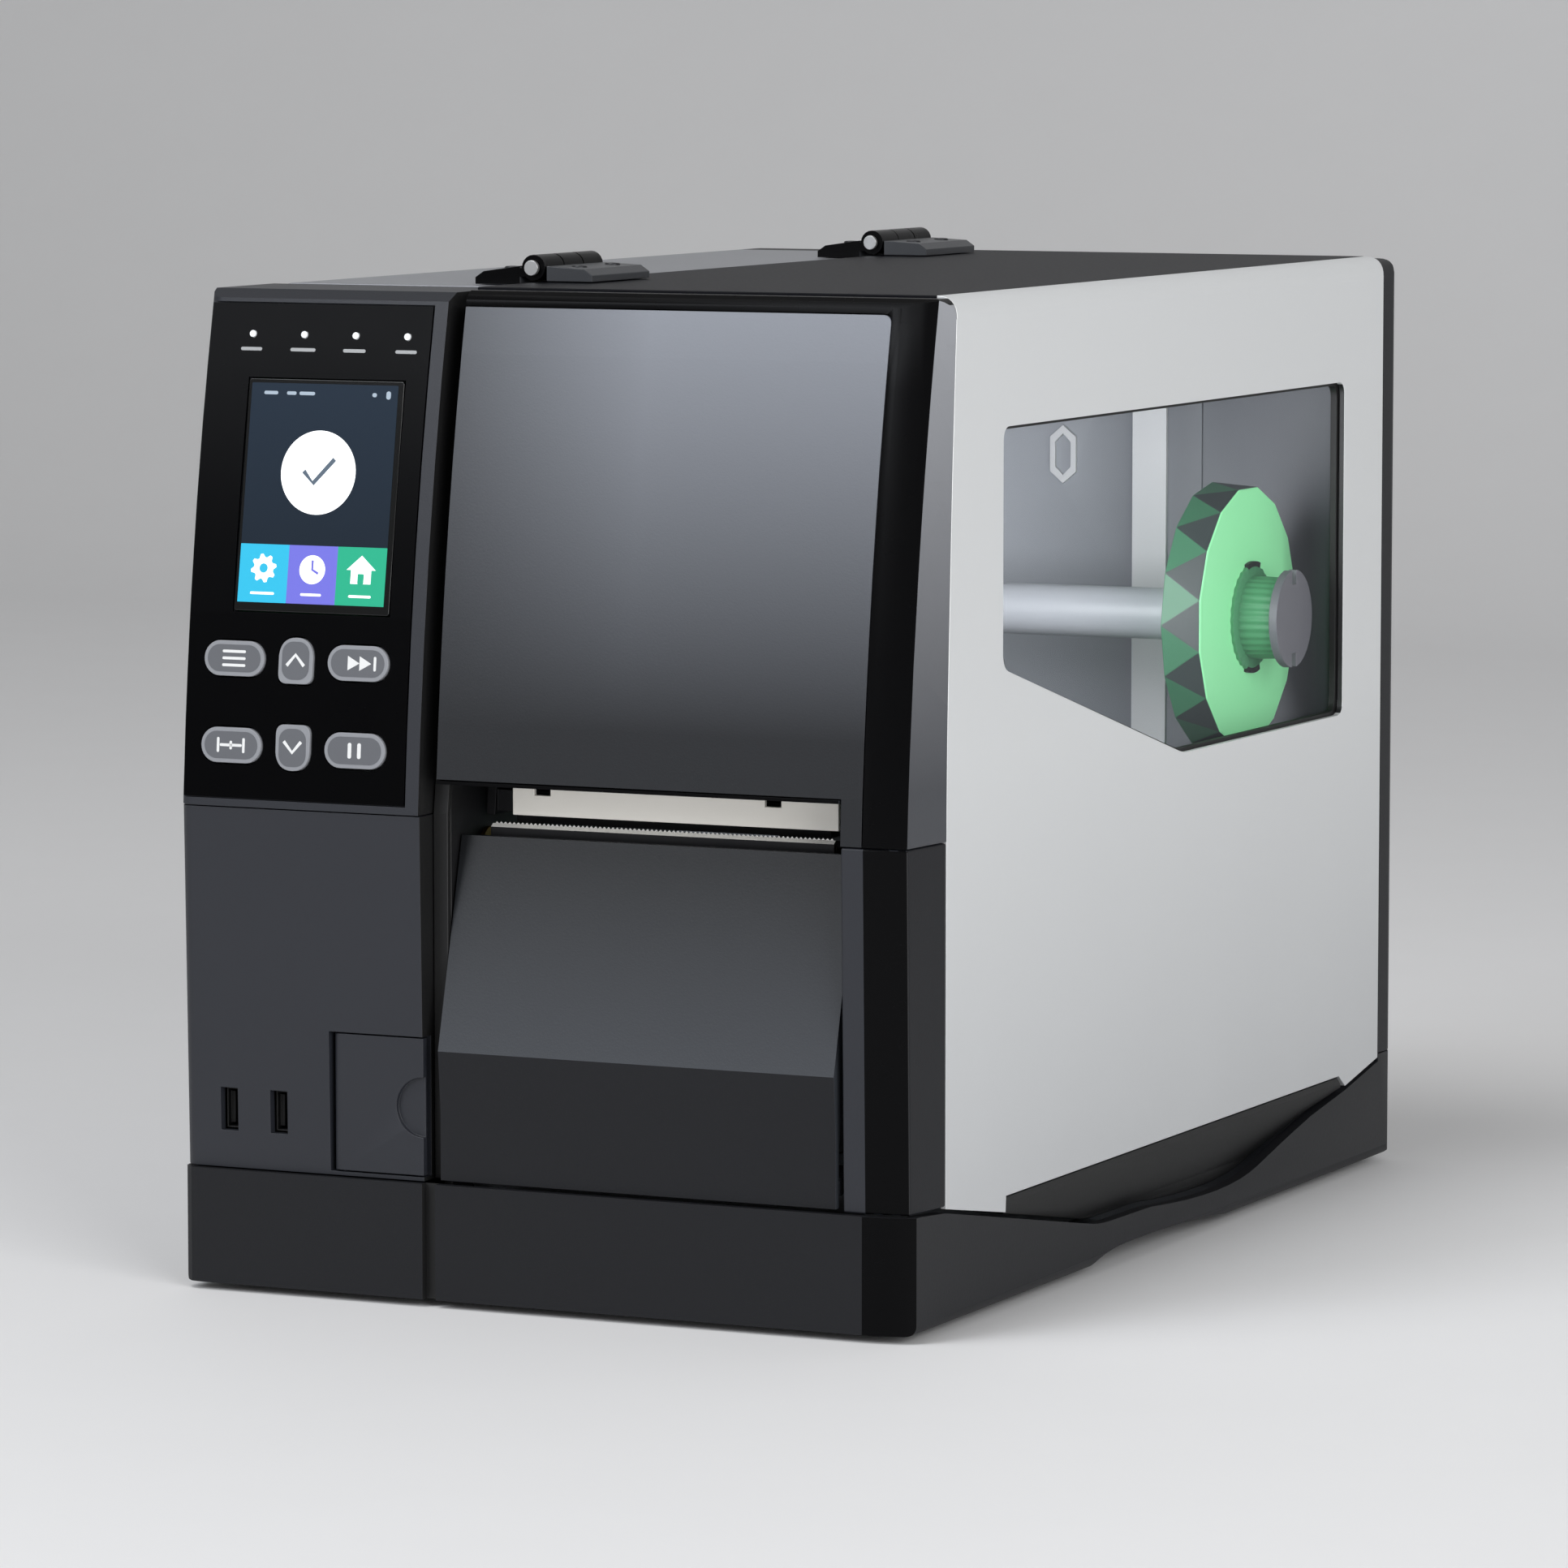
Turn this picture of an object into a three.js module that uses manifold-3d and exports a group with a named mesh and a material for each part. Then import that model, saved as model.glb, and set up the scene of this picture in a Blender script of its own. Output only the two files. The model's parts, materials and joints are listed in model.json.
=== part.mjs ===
// Bench-top thermal transfer label printer: a two-bay cabinet with the electronics on the left,
// the media bay on the right, and a clamshell media door hinged along the top.
//
// Frame: millimetres, +Z up, front of the machine towards -Y, operator's right hand towards +X.
// The origin is at the middle of the machine's footprint, on the surface that the rubber feet stand on.
// Inside this file "depth" is measured from the front plane backwards, and "level" is measured from
// the underside of the base upwards; DEPTH_0 and LEVEL_0 carry both into the frame.
import * as THREE from "three";
import { mergeVertices } from "three/addons/utils/BufferGeometryUtils.js";
import Module from "manifold-3d";

const wasm = await Module();
wasm.setup();

// ---------------------------------------------------------------- driving dimensions
const WIDTH = 257; // over the side panels
const DEPTH = 420; // front plane to rear cover
const FOOT = 2.5; // how far the rubber feet stand out of the base
const HALF = WIDTH / 2;
const DEPTH_0 = -DEPTH / 2;
const LEVEL_0 = FOOT;

const GAP = 0.4; // shut line between mouldings
const WALL = 3; // moulded wall
const SHEET = 2; // folded sheet metal

const BASE_TOP = 37; // the base's front skirt
const SEAM = 151.3; // between the lower front and the door's front
const BELT = 154; // underside of the control housing, the most forward line of the front
const COVER_TOP = 318; // top of the electronics cover
const DOOR_TOP = 319.2; // top of the media door
const SPLIT_LEFT = -41.5; // right edge of the left front column
const SPLIT_RIGHT = -35.6; // left edge of the door's front and of the label door
const EXIT_RIGHT = 104.3; // right edge of the label exit
const BAND = 111.8; // where the front starts to turn round the right corner
const BASE_CREASE = { x: HALF, depth: 4 }; // where the base's front meets its side
const FRONT_CREASE = { x: HALF - 2.4, depth: 1.8 }; // the same on the mouldings above the base
const FRONT_DEPTH = 26; // the front mouldings' depth along the right side
const COLUMN_DEPTH = 66; // the same for the left column
const REAR = 405; // where the side panels end and the rear cover starts

const BAY_WALL = -37.9; // middle of the wall between the two bays
const BAY_WALL_THICK = 3;

const HINGE_X = -38;
const HINGE_Z = DOOR_TOP + 4.6;
const HINGE_DEPTHS = [74, 337];
const HINGE_LONG = 42;
const HINGE_REACH = 21; // how far each leaf reaches from the pin

const PLATEN = { depth: 37, level: 140, radius: 8.5 };
const HEAD_PIVOT = { depth: 116, level: 174 };
const LEVER_PIVOT = { depth: 92, level: 190 };
const HANGER = { depth: 345, level: 196 };
const LABEL_AXIS = { depth: 7, level: 44.5 };
const ACCESS_AXIS = { x: -71.2, depth: 5 };

// The upper front leans back along an arc: this is its depth at a level.
const LEAN = 0.06;
const LEAN_CURVE = 0.0005;
const frontDepth = (level) => {
  const rise = Math.max(0, level - BELT);
  return LEAN * rise + LEAN_CURVE * rise * rise;
};
const frontTilt = (level) => Math.atan(LEAN + 2 * LEAN_CURVE * Math.max(0, level - BELT));
// The lower front leans the other way by 2 mm down to the base.
const lowerDepth = (level) => 2.3 * (1 - (level - BASE_TOP) / (BELT - BASE_TOP)) + 0.3;

// ---------------------------------------------------------------- solids and booleans
// A closed three.js geometry as a manifold-3d solid.
function solid(geometry) {
  const bare = (geometry.index ? geometry.toNonIndexed() : geometry).clone();
  for (const name of Object.keys(bare.attributes)) if (name !== "position") bare.deleteAttribute(name);
  const merged = mergeVertices(bare, 1e-4);
  const corners = new Uint32Array(merged.index.array);
  const made = new wasm.Manifold(
    new wasm.Mesh({
      numProp: 3,
      vertProperties: new Float32Array(merged.attributes.position.array),
      triVerts: corners,
    }),
  );
  if (made.status() !== "NoError") throw new Error(`open geometry: ${made.status()}`);
  return made;
}

// Joins a list of solids into one.
const union = (...solids) => solids.reduce((whole, piece) => whole.add(piece));

// A box between two x, two depths and two levels.
function block(x0, x1, d0, d1, l0, l1) {
  const g = new THREE.BoxGeometry(x1 - x0, d1 - d0, l1 - l0);
  g.translate((x0 + x1) / 2, DEPTH_0 + (d0 + d1) / 2, LEVEL_0 + (l0 + l1) / 2);
  return solid(g);
}

// A round bar along x, y (depth) or z (level). Its centre is given in the other two directions.
function bar(axis, radius, from, to, a, b, sides = 24) {
  const g = new THREE.CylinderGeometry(radius, radius, to - from, sides);
  const middle = (from + to) / 2;
  if (axis === "x") g.rotateZ(-Math.PI / 2).translate(middle, DEPTH_0 + a, LEVEL_0 + b);
  if (axis === "y") g.translate(a, DEPTH_0 + middle, LEVEL_0 + b);
  if (axis === "z") g.rotateX(Math.PI / 2).translate(a, DEPTH_0 + b, LEVEL_0 + middle);
  return solid(g);
}

const shapeOf = (points) => new THREE.Shape(points.map(([a, b]) => new THREE.Vector2(a, b)));
const extruded = (shape, length) =>
  new THREE.ExtrudeGeometry(shape, { depth: length, bevelEnabled: false, curveSegments: 8 });

// A [depth, level] outline drawn out along x.
function alongX(outline, x0, x1) {
  const shape = outline instanceof THREE.Shape ? outline : shapeOf(outline);
  const g = extruded(shape, x1 - x0);
  g.applyMatrix4(new THREE.Matrix4().makeBasis(
    new THREE.Vector3(0, 1, 0), new THREE.Vector3(0, 0, 1), new THREE.Vector3(1, 0, 0)));
  return solid(g.translate(x0, DEPTH_0, LEVEL_0));
}

// An [x, level] outline drawn out along the depth.
function alongY(outline, d0, d1) {
  const shape = outline instanceof THREE.Shape ? outline : shapeOf(outline);
  const g = extruded(shape, d1 - d0);
  g.rotateX(Math.PI / 2);
  return solid(g.translate(0, DEPTH_0 + d1, LEVEL_0));
}

// An [x, depth] outline drawn out upwards.
function alongZ(outline, l0, l1) {
  const shape = outline instanceof THREE.Shape ? outline : shapeOf(outline);
  return solid(extruded(shape, l1 - l0).translate(0, DEPTH_0, LEVEL_0 + l0));
}

// An [x, depth] outline drawn out upwards, each point shifted back by shiftAt(level, depth).
function leaning(outline, l0, l1, shiftAt, count = 8) {
  const settings = { depth: l1 - l0, steps: count, bevelEnabled: false };
  const g = new THREE.ExtrudeGeometry(shapeOf(outline), settings);
  const place = g.attributes.position;
  for (let i = 0; i < place.count; i++) {
    const depth = place.getY(i);
    place.setY(i, depth + shiftAt(l0 + place.getZ(i), depth));
  }
  return solid(g.translate(0, DEPTH_0, LEVEL_0 + l0));
}

// Limits a shift to the points near the front, so that a moulding's back stays straight.
const nearFront = (shiftAt) => (level, depth) => (depth < 15 ? shiftAt(level) : 0);

// Levels from one to another, in equal steps.
const steps = (from, to, count) =>
  Array.from({ length: count + 1 }, (_, i) => from + ((to - from) * i) / count);

// A rectangle or polygon with its corners rounded, as a THREE.Shape.
function roundedPolygon(points, radius) {
  const shape = new THREE.Shape();
  points.forEach((p, i) => {
    const here = new THREE.Vector2(...p);
    const before = new THREE.Vector2(...points[(i + points.length - 1) % points.length]);
    const after = new THREE.Vector2(...points[(i + 1) % points.length]);
    const entry = here.clone().add(before.clone().sub(here).setLength(radius));
    const exit = here.clone().add(after.clone().sub(here).setLength(radius));
    if (i === 0) shape.moveTo(entry.x, entry.y);
    else shape.lineTo(entry.x, entry.y);
    shape.quadraticCurveTo(here.x, here.y, exit.x, exit.y);
  });
  shape.closePath();
  return shape;
}

const rectangle = (x0, x1, y0, y1) => [[x0, y0], [x1, y0], [x1, y1], [x0, y1]];

// A slot with round ends, centred on (0, 0).
function stadium(width, height) {
  const r = height / 2;
  const shape = new THREE.Shape();
  shape.absarc(width / 2 - r, 0, r, -Math.PI / 2, Math.PI / 2);
  shape.absarc(r - width / 2, 0, r, Math.PI / 2, 1.5 * Math.PI);
  return shape;
}

// ---------------------------------------------------------------- materials
const paint = (color, roughness, metalness = 0) =>
  new THREE.MeshStandardMaterial({ color, roughness, metalness });
const charcoal = paint(0x33363c, 0.55);
const glossBlack = paint(0x08090b, 0.12);
const silver = paint(0xc4c7c9, 0.42, 0.3);
const doorTop = paint(0x3a3c46, 0.25);
const smoke = paint(0x6f757c, 0.08);
const rubber = paint(0x1b1c1e, 0.85);
const steel = paint(0xb9bbbd, 0.3, 1);
const zinc = paint(0x9a9ca0, 0.45, 0.9);
const greyPlastic = paint(0x6a6d73, 0.5);
const buttonGrey = paint(0x5d6066, 0.5);
const green = paint(0x7fd99a, 0.45);
const clear = paint(0xe9eef2, 0.2);
const screen = paint(0x1b2a3a, 0.15);
const board = paint(0x1f5b3a, 0.6);
const brass = paint(0xb08d4a, 0.4, 0.9);

// ---------------------------------------------------------------- the assembly
const printer = new THREE.Group();

// Adds a solid to the assembly as a named mesh.
function add(name, made, material, parent = printer) {
  const mesh = made.getMesh();
  const g = new THREE.BufferGeometry();
  g.setAttribute("position", new THREE.BufferAttribute(new Float32Array(mesh.vertProperties), 3));
  g.setIndex(new THREE.BufferAttribute(new Uint32Array(mesh.triVerts), 1));
  g.computeVertexNormals();
  const node = new THREE.Mesh(g, material);
  node.name = name;
  parent.add(node);
  return node;
}

// ---------------------------------------------------------------- base and feet
// Plan of the front right corner: the front turns away in an arc and meets the side at a crisp edge.
const cornerPoints = (crease, inset = 0) =>
  steps(0, 1, 5).map((t) => [BAND + (crease.x - inset - BAND) * t, inset + crease.depth * t * t]);

// A rounded corner in plan, from one angle to another.
const arcPoints = (x, depth, radius, from, to) =>
  steps(from, to, 4).map((a) => [x + radius * Math.cos(a), depth + radius * Math.sin(a)]);

// The machine's plan, with a rounded front left corner and rounded rear corners.
const CORNER = 6;
const footprint = () => [
  ...arcPoints(-HALF + CORNER, CORNER, CORNER, Math.PI, 1.5 * Math.PI),
  ...cornerPoints(BASE_CREASE),
  ...arcPoints(HALF - CORNER, DEPTH - CORNER, CORNER, 0, Math.PI / 2),
  ...arcPoints(-HALF + CORNER, DEPTH - CORNER, CORNER, Math.PI / 2, Math.PI),
];

// The line that the base's right side keeps under the door, from the front skirt to the rear.
function sideLine(lift) {
  const line = new THREE.Shape();
  line.moveTo(6.5, 60);
  line.lineTo(6.5, BASE_TOP + lift);
  line.lineTo(FRONT_DEPTH, 35.4 + lift);
  line.lineTo(73, 27.1 + lift);
  line.lineTo(143, 14.8 + lift);
  line.quadraticCurveTo(151, 13.4 + lift, 164, 13.4 + lift);
  line.lineTo(194, 13 + lift);
  line.quadraticCurveTo(262, 7 + lift, 290, 13.4 + lift);
  line.quadraticCurveTo(312, 18.4 + lift, 340, 23.7 + lift);
  line.lineTo(373, 28.4 + lift);
  line.lineTo(REAR, 34.4 + lift);
  line.lineTo(REAR, 60);
  return line;
}

// The arch under each side, where hands go to lift the machine: steep in front, shallow behind.
const ARCH = { front: 144.5, back: 268, high: 4.3, pad: 7.4 };
function archOutline() {
  const arch = new THREE.Shape();
  arch.moveTo(ARCH.front - 1, -1);
  arch.lineTo(ARCH.front, 0);
  arch.quadraticCurveTo(150, 3.9, 172, ARCH.high);
  arch.quadraticCurveTo(232, 4.6, ARCH.back, 0);
  arch.lineTo(ARCH.back + 2, -1);
  return arch;
}

function baseFrame() {
  let base = alongZ(footprint(), 0, BASE_TOP);
  // The tray inside, open at the top, and the rebate that clears the label door's lower edge.
  base = base.subtract(block(-HALF + 4, HALF - 4, 6, DEPTH - 4, 4, BASE_TOP + 1));
  base = base.subtract(block(-HALF + 4, HALF - 4, 3, 7, BASE_TOP - 1.4, BASE_TOP + 1));
  base = base.subtract(alongX(sideLine(0), HALF - 5, HALF + 1));
  base = base.subtract(block(-HALF - 1, -HALF + 5, COLUMN_DEPTH, REAR, 34.6, BASE_TOP + 1));
  for (const side of [-1, 1]) {
    const [near, far] = [side * (HALF - 26), side * (HALF - 3)].sort((a, b) => a - b);
    base = base.add(block(near, far, ARCH.front - 5, ARCH.back + 5, 2, ARCH.pad));
    const [from, to] = [side * (HALF - 24), side * (HALF + 1)].sort((a, b) => a - b);
    base = base.subtract(alongX(archOutline(), from, to));
  }
  // The lower rear edge is rounded.
  const edge = new THREE.Shape();
  edge.moveTo(DEPTH - 8, 0);
  edge.quadraticCurveTo(DEPTH, 0, DEPTH, 8);
  edge.lineTo(DEPTH + 1, 8);
  edge.lineTo(DEPTH + 1, -1);
  edge.lineTo(DEPTH - 8, -1);
  base = base.subtract(alongX(edge, -HALF - 1, HALF + 1));
  // So are the lower edges of both sides, less.
  for (const side of [-1, 1]) {
    const lower = new THREE.Shape();
    lower.moveTo(side * (HALF - 3.6), 0);
    lower.quadraticCurveTo(side * HALF, 0, side * HALF, 3.6);
    lower.lineTo(side * (HALF + 1), 3.6);
    lower.lineTo(side * (HALF + 1), -1);
    lower.lineTo(side * (HALF - 3.6), -1);
    base = base.subtract(alongY(lower, -1, DEPTH + 1));
  }
  // The shadow groove that runs up the front between the two bays.
  base = base.subtract(block(SPLIT_LEFT + 0.5, SPLIT_RIGHT - 0.8, -1, 2.9, -1, BASE_TOP + 1));
  // Vents through the floor under the electronics.
  for (let i = 0; i < 6; i++) base = base.subtract(block(-98, -62, 150 + i * 14, 155 + i * 14, -1, 5));
  return base;
}
add("base_frame", baseFrame(), charcoal);

for (const [side, x] of [["left", -104], ["right", 104]])
  for (const [end, depth] of [["front", 34], ["rear", 386]])
    add(`foot_${end}_${side}`, bar("z", 9, -FOOT, -0.3, x, depth, 20), rubber);

// ---------------------------------------------------------------- walls and covers
const WALL_LEFT = BAY_WALL - BAY_WALL_THICK / 2;
const WALL_RIGHT = BAY_WALL + BAY_WALL_THICK / 2;

// The wall between the bays, with a hole for each shaft that it carries.
function bayWall() {
  let wall = alongX([[12, 4.4], [402, 4.4], [402, 311], [36, 311], [12, 154]], WALL_LEFT, WALL_RIGHT);
  for (const [centre, radius] of [[PLATEN, 6.4], [HEAD_PIVOT, 4.4], [HANGER, 9.4]])
    wall = wall.subtract(bar("x", radius, WALL_LEFT - 1, WALL_RIGHT + 1, centre.depth, centre.level, 20));
  return wall;
}
add("bay_wall", bayWall(), zinc);

// A strip closes the groove between the two fronts, ahead of the wall.
const seamStrip = [[9, 37.6], [11.4, 37.6], [11.4, 154], [35, 311], [33, 311], [9, 154]];
add("front_seam_strip", alongX(seamStrip, SPLIT_LEFT + GAP, SPLIT_RIGHT - GAP), rubber);

// A folded sheet: the machine's left side and the left part of its top.
function electronicsCover() {
  const r = 8;
  const left = -HALF;
  const right = HINGE_X - 1.2;
  const outer = new THREE.Shape();
  outer.moveTo(left, 35);
  outer.lineTo(left, COVER_TOP - r);
  outer.quadraticCurveTo(left, COVER_TOP, left + r, COVER_TOP);
  outer.lineTo(right, COVER_TOP);
  outer.lineTo(right, COVER_TOP - SHEET);
  outer.lineTo(left + r, COVER_TOP - SHEET);
  outer.quadraticCurveTo(left + SHEET, COVER_TOP - SHEET, left + SHEET, COVER_TOP - r);
  outer.lineTo(left + SHEET, 35);
  outer.closePath();
  let cover = alongY(outer, COLUMN_DEPTH + GAP, REAR - GAP);
  // Louvres through the side.
  for (let row = 0; row < 2; row++)
    for (let i = 0; i < 12; i++) {
      const depth = 232 + i * 12;
      const low = 78 + row * 62;
      cover = cover.subtract(block(left - 1, left + SHEET + 1, depth, depth + 3.6, low, low + 46));
    }
  return cover;
}
add("electronics_cover", electronicsCover(), silver);

const INLET = { x: -101, level: 64 };
const SWITCH = { x: -72, level: 64 };
const SLOT = { left: -24, right: 96, low: 96, high: 104 };

// Sockets on the rear: [x, level, width, height, width of the tongue inside].
const SOCKETS = [
  [-62, 246, 16, 13.5, 0],
  [-62, 221, 12, 11, 5],
  [-62, 198, 6, 13.4, 2],
  [-62, 166, 12.5, 31, 9],
];

function rearCover() {
  const r = 8;
  const body = new THREE.Shape();
  body.moveTo(-HALF, BASE_TOP + GAP);
  body.lineTo(HALF, BASE_TOP + GAP);
  body.lineTo(HALF, COVER_TOP - r);
  body.quadraticCurveTo(HALF, COVER_TOP, HALF - r, COVER_TOP);
  body.lineTo(-HALF + r, COVER_TOP);
  body.quadraticCurveTo(-HALF, COVER_TOP, -HALF, COVER_TOP - r);
  body.closePath();
  const back = DEPTH - 4;
  let cover = alongY(body, REAR, DEPTH).intersect(alongZ(footprint(), BASE_TOP, COVER_TOP + 1));
  cover = cover.subtract(
    block(-HALF + WALL, HALF - WALL, REAR - 1, DEPTH - WALL, BASE_TOP + WALL, COVER_TOP - WALL));
  const openings = [[INLET.x, INLET.level, 28, 22], [SWITCH.x, SWITCH.level, 16, 22]];
  for (const [x, level, wide, high] of SOCKETS) openings.push([x, level, wide + 1, high + 1]);
  for (const [x, level, wide, high] of openings)
    cover = cover.subtract(
      block(x - wide / 2, x + wide / 2, back, DEPTH + 1, level - high / 2, level + high / 2));
  cover = cover.subtract(block(SLOT.left, SLOT.right, back, DEPTH + 1, SLOT.low, SLOT.high));
  for (let i = 0; i < 8; i++)
    cover = cover.subtract(block(-116, -56, back, DEPTH + 1, 92 + i * 6, 95 + i * 6));
  return cover;
}
add("rear_cover", rearCover(), charcoal);

const LINING_TOP = 309;
// Lining of the media bay's back: a bead across, an upright rib and a hexagonal marker.
function bayLining() {
  const back = REAR - 1.4;
  let lining = block(WALL_RIGHT + GAP, 121.5, 401, back, 46, LINING_TOP);
  lining = lining.add(bar("x", 3.4, WALL_RIGHT + GAP, 36.5, 401.6, 189, 16).intersect(
    block(WALL_RIGHT, 40, 390, back, 180, 200)));
  lining = lining.add(block(36, 49, 398.6, 402, 46, LINING_TOP));
  lining = lining.add(block(48, 62, 400, 402, 46, LINING_TOP));
  const hexagon = (half, high) =>
    [[0, -1], [1, -0.6], [1, 0.6], [0, 1], [-1, 0.6], [-1, -0.6]]
      .map(([a, b]) => [8.7 + half * a, 247 + high * b]);
  lining = lining.add(alongY(hexagon(5, 10.4), 399.6, 402).subtract(alongY(hexagon(3, 7.4), 399, 403)));
  return lining.subtract(block(SLOT.left, SLOT.right, 395, 406, SLOT.low, SLOT.high));
}
add("bay_lining", bayLining(), greyPlastic);

// ---------------------------------------------------------------- left front column
const HOUSING_RIGHT = -41.8;
const OVERLAY_RIGHT = -47;
const ROUND = 5;

// Plan of a left column moulding: rounded outer corner, open at the back when it is hollowed.
function columnOutline(right, back, inset) {
  const left = -HALF + inset;
  const r = ROUND - inset;
  return [
    ...arcPoints(left + r, inset + r, r, Math.PI, 1.5 * Math.PI),
    [right - inset, inset], [right - inset, back], [left, back]];
}

const DISPLAY = { x: -82.7, level: 253, wide: 56.5, high: 75 };
const BUTTON_ROWS = [201, 173.5];
const BUTTON_COLUMNS = [-109.2, -87, -64.7];
const PILL = { wide: 22.2, high: 11.8 };
const ARROW = { wide: 12.8, high: 15.2 };
const LED_LEVEL = 303.6;
const LED_X = [-110.9, -92.3, -73.8, -55.3];
const OVERLAY = 1.2;

// A flat outline from "low" to "high" above the front surface at that place, square to its lean.
function proudPlate(shape, x, level, low, high) {
  const g = extruded(shape, high - low).translate(0, 0, low);
  g.rotateX(Math.PI / 2 - frontTilt(level));
  return solid(g.translate(x, DEPTH_0 + frontDepth(level), LEVEL_0 + level));
}

const disc = (radius) => new THREE.Shape().absarc(0, 0, radius, 0, 2 * Math.PI);

// The arrow keys are shield shapes: a bowed end that points up or down and a square end.
function shield(width, height, way) {
  const w = width / 2;
  const h = way * height / 2;
  const shape = new THREE.Shape();
  shape.moveTo(-w, -h * 0.55);
  shape.quadraticCurveTo(-w, -h, -w * 0.5, -h);
  shape.lineTo(w * 0.5, -h);
  shape.quadraticCurveTo(w, -h, w, -h * 0.55);
  shape.lineTo(w, h * 0.2);
  shape.quadraticCurveTo(w * 0.9, h, 0, h);
  shape.quadraticCurveTo(-w * 0.9, h, -w, h * 0.2);
  shape.closePath();
  return shape;
}

const BUTTONS = [
  { name: "menu", column: 0, row: 0 },
  { name: "up", column: 1, row: 0, way: 1 },
  { name: "feed", column: 2, row: 0 },
  { name: "calibrate", column: 0, row: 1 },
  { name: "down", column: 1, row: 1, way: -1 },
  { name: "pause", column: 2, row: 1 },
];
const buttonShape = (b, grow) =>
  b.way ? shield(ARROW.wide + 2 * grow, ARROW.high + 2 * grow, b.way)
    : stadium(PILL.wide + 2 * grow, PILL.high + 2 * grow);
const buttonPlate = (b, grow, low, high) =>
  proudPlate(buttonShape(b, grow), BUTTON_COLUMNS[b.column], BUTTON_ROWS[b.row], low, high);

// Cuts the openings for the keys, the display and the lights.
function cutControls(made, grow) {
  let left = made;
  for (const b of BUTTONS) left = left.subtract(buttonPlate(b, grow, -8, 4));
  const [half, tall] = [DISPLAY.wide / 2, DISPLAY.high / 2];
  const opening = shapeOf(rectangle(-half, half, -tall, tall));
  left = left.subtract(proudPlate(opening, DISPLAY.x, DISPLAY.level, -8, 4));
  for (const x of LED_X) left = left.subtract(proudPlate(disc(1.45), x, LED_LEVEL, -8, 4));
  return left;
}

function controlHousing() {
  const top = 317.6;
  const lean = nearFront(frontDepth);
  let housing = leaning(columnOutline(HOUSING_RIGHT, COLUMN_DEPTH, 0), BELT, top, lean, 12);
  housing = housing.subtract(
    leaning(columnOutline(HOUSING_RIGHT, COLUMN_DEPTH + 5, WALL), BELT + WALL, 314, lean, 10));
  // The top edge rolls back over the front.
  const edge = frontDepth(314.8);
  const roll = [[edge - 9, 314.8], [edge, 314.8], [edge + 6, top + 0.1], [edge - 9, 330]];
  housing = housing.subtract(alongX(roll, -HALF - 1, -40));
  // A step in the front takes the glossy overlay.
  const sink = rectangle(-HALF + 1.6, OVERLAY_RIGHT + 0.5, -5, OVERLAY);
  return cutControls(housing.subtract(leaning(sink, BELT + 2.4, 313.6, frontDepth)), 0.4);
}
add("control_housing", controlHousing(), charcoal);

const overlayPlan = rectangle(-HALF + 2.1, OVERLAY_RIGHT, 0.05, OVERLAY - 0.35);
add("control_overlay", cutControls(leaning(overlayPlan, BELT + 2.8, 313.2, frontDepth), 0.3), glossBlack);

const [displayHalf, displayTall] = [DISPLAY.wide / 2 - 0.4, DISPLAY.high / 2 - 0.4];
const displayPlan = roundedPolygon(rectangle(-displayHalf, displayHalf, -displayTall, displayTall), 1);
add("display_module", proudPlate(displayPlan, DISPLAY.x, DISPLAY.level, -4.6, -0.5), screen);

for (const b of BUTTONS) add(`button_${b.name}`, buttonPlate(b, -0.25, -3.6, 0.7), buttonGrey);

// One clear moulding carries the four status lights to the front.
function lightPipe() {
  const rail = shapeOf(rectangle(LED_X[0] - 3, LED_X[3] + 3, -2.2, 2.2));
  let pipe = proudPlate(rail, 0, LED_LEVEL, -8.6, -5.6);
  for (const x of LED_X) pipe = pipe.add(proudPlate(disc(1.1), x, LED_LEVEL, -8, 0.15));
  return pipe;
}
add("status_light_pipe", lightPipe(), clear);

// The panel board stands behind the display and under the keys.
const panelBoard = union(
  proudPlate(shapeOf(rectangle(-36, 36, -42, 42)), -85, 252, -9.6, -8),
  proudPlate(shapeOf(rectangle(-18, 18, -8, 8)), -85, 252, -13.6, -9));
add("control_board", panelBoard, board);

const USB = { x: [-111.6, -93.6], level: 56.3 };
const ACCESS = { left: -74.6, low: 39.2, high: 83 };

function frontLeftCover() {
  const top = BELT - GAP;
  const bottom = BASE_TOP + GAP;
  const lean = nearFront(lowerDepth);
  let cover = leaning(columnOutline(SPLIT_LEFT, COLUMN_DEPTH, 0), bottom, top, lean, 4);
  cover = cover.subtract(
    leaning(columnOutline(SPLIT_LEFT, COLUMN_DEPTH + 5, WALL), bottom - 1, top - WALL, lean, 4));
  // Behind the return wall there is room for the drive gears.
  cover = cover.subtract(block(SPLIT_LEFT - 8, SPLIT_LEFT + 1, 24, COLUMN_DEPTH + 1, bottom - 1, top - WALL));
  for (const x of USB.x)
    cover = cover.subtract(block(x - 3.1, x + 3.1, -1, 8, USB.level - 6.9, USB.level + 6.9));
  // A closed pocket behind the access door, whose opening runs out through the right edge.
  cover = cover.add(block(ACCESS.left - 2.5, SPLIT_LEFT, 3.6, 30, bottom, ACCESS.high + 2.5));
  for (const [right, deep] of [[SPLIT_LEFT - 2.5, 28], [SPLIT_LEFT + 1, 7.6]])
    cover = cover.subtract(block(ACCESS.left - 0.5, right, -1, deep, ACCESS.low - 0.5, ACCESS.high + 0.5));
  // Sockets below and above for the access door's pivots.
  return cover.subtract(
    bar("z", 1.25, ACCESS.low - 1.9, ACCESS.high + 1.9, ACCESS_AXIS.x, ACCESS_AXIS.depth, 12));
}
add("front_left_cover", frontLeftCover(), charcoal);

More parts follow.
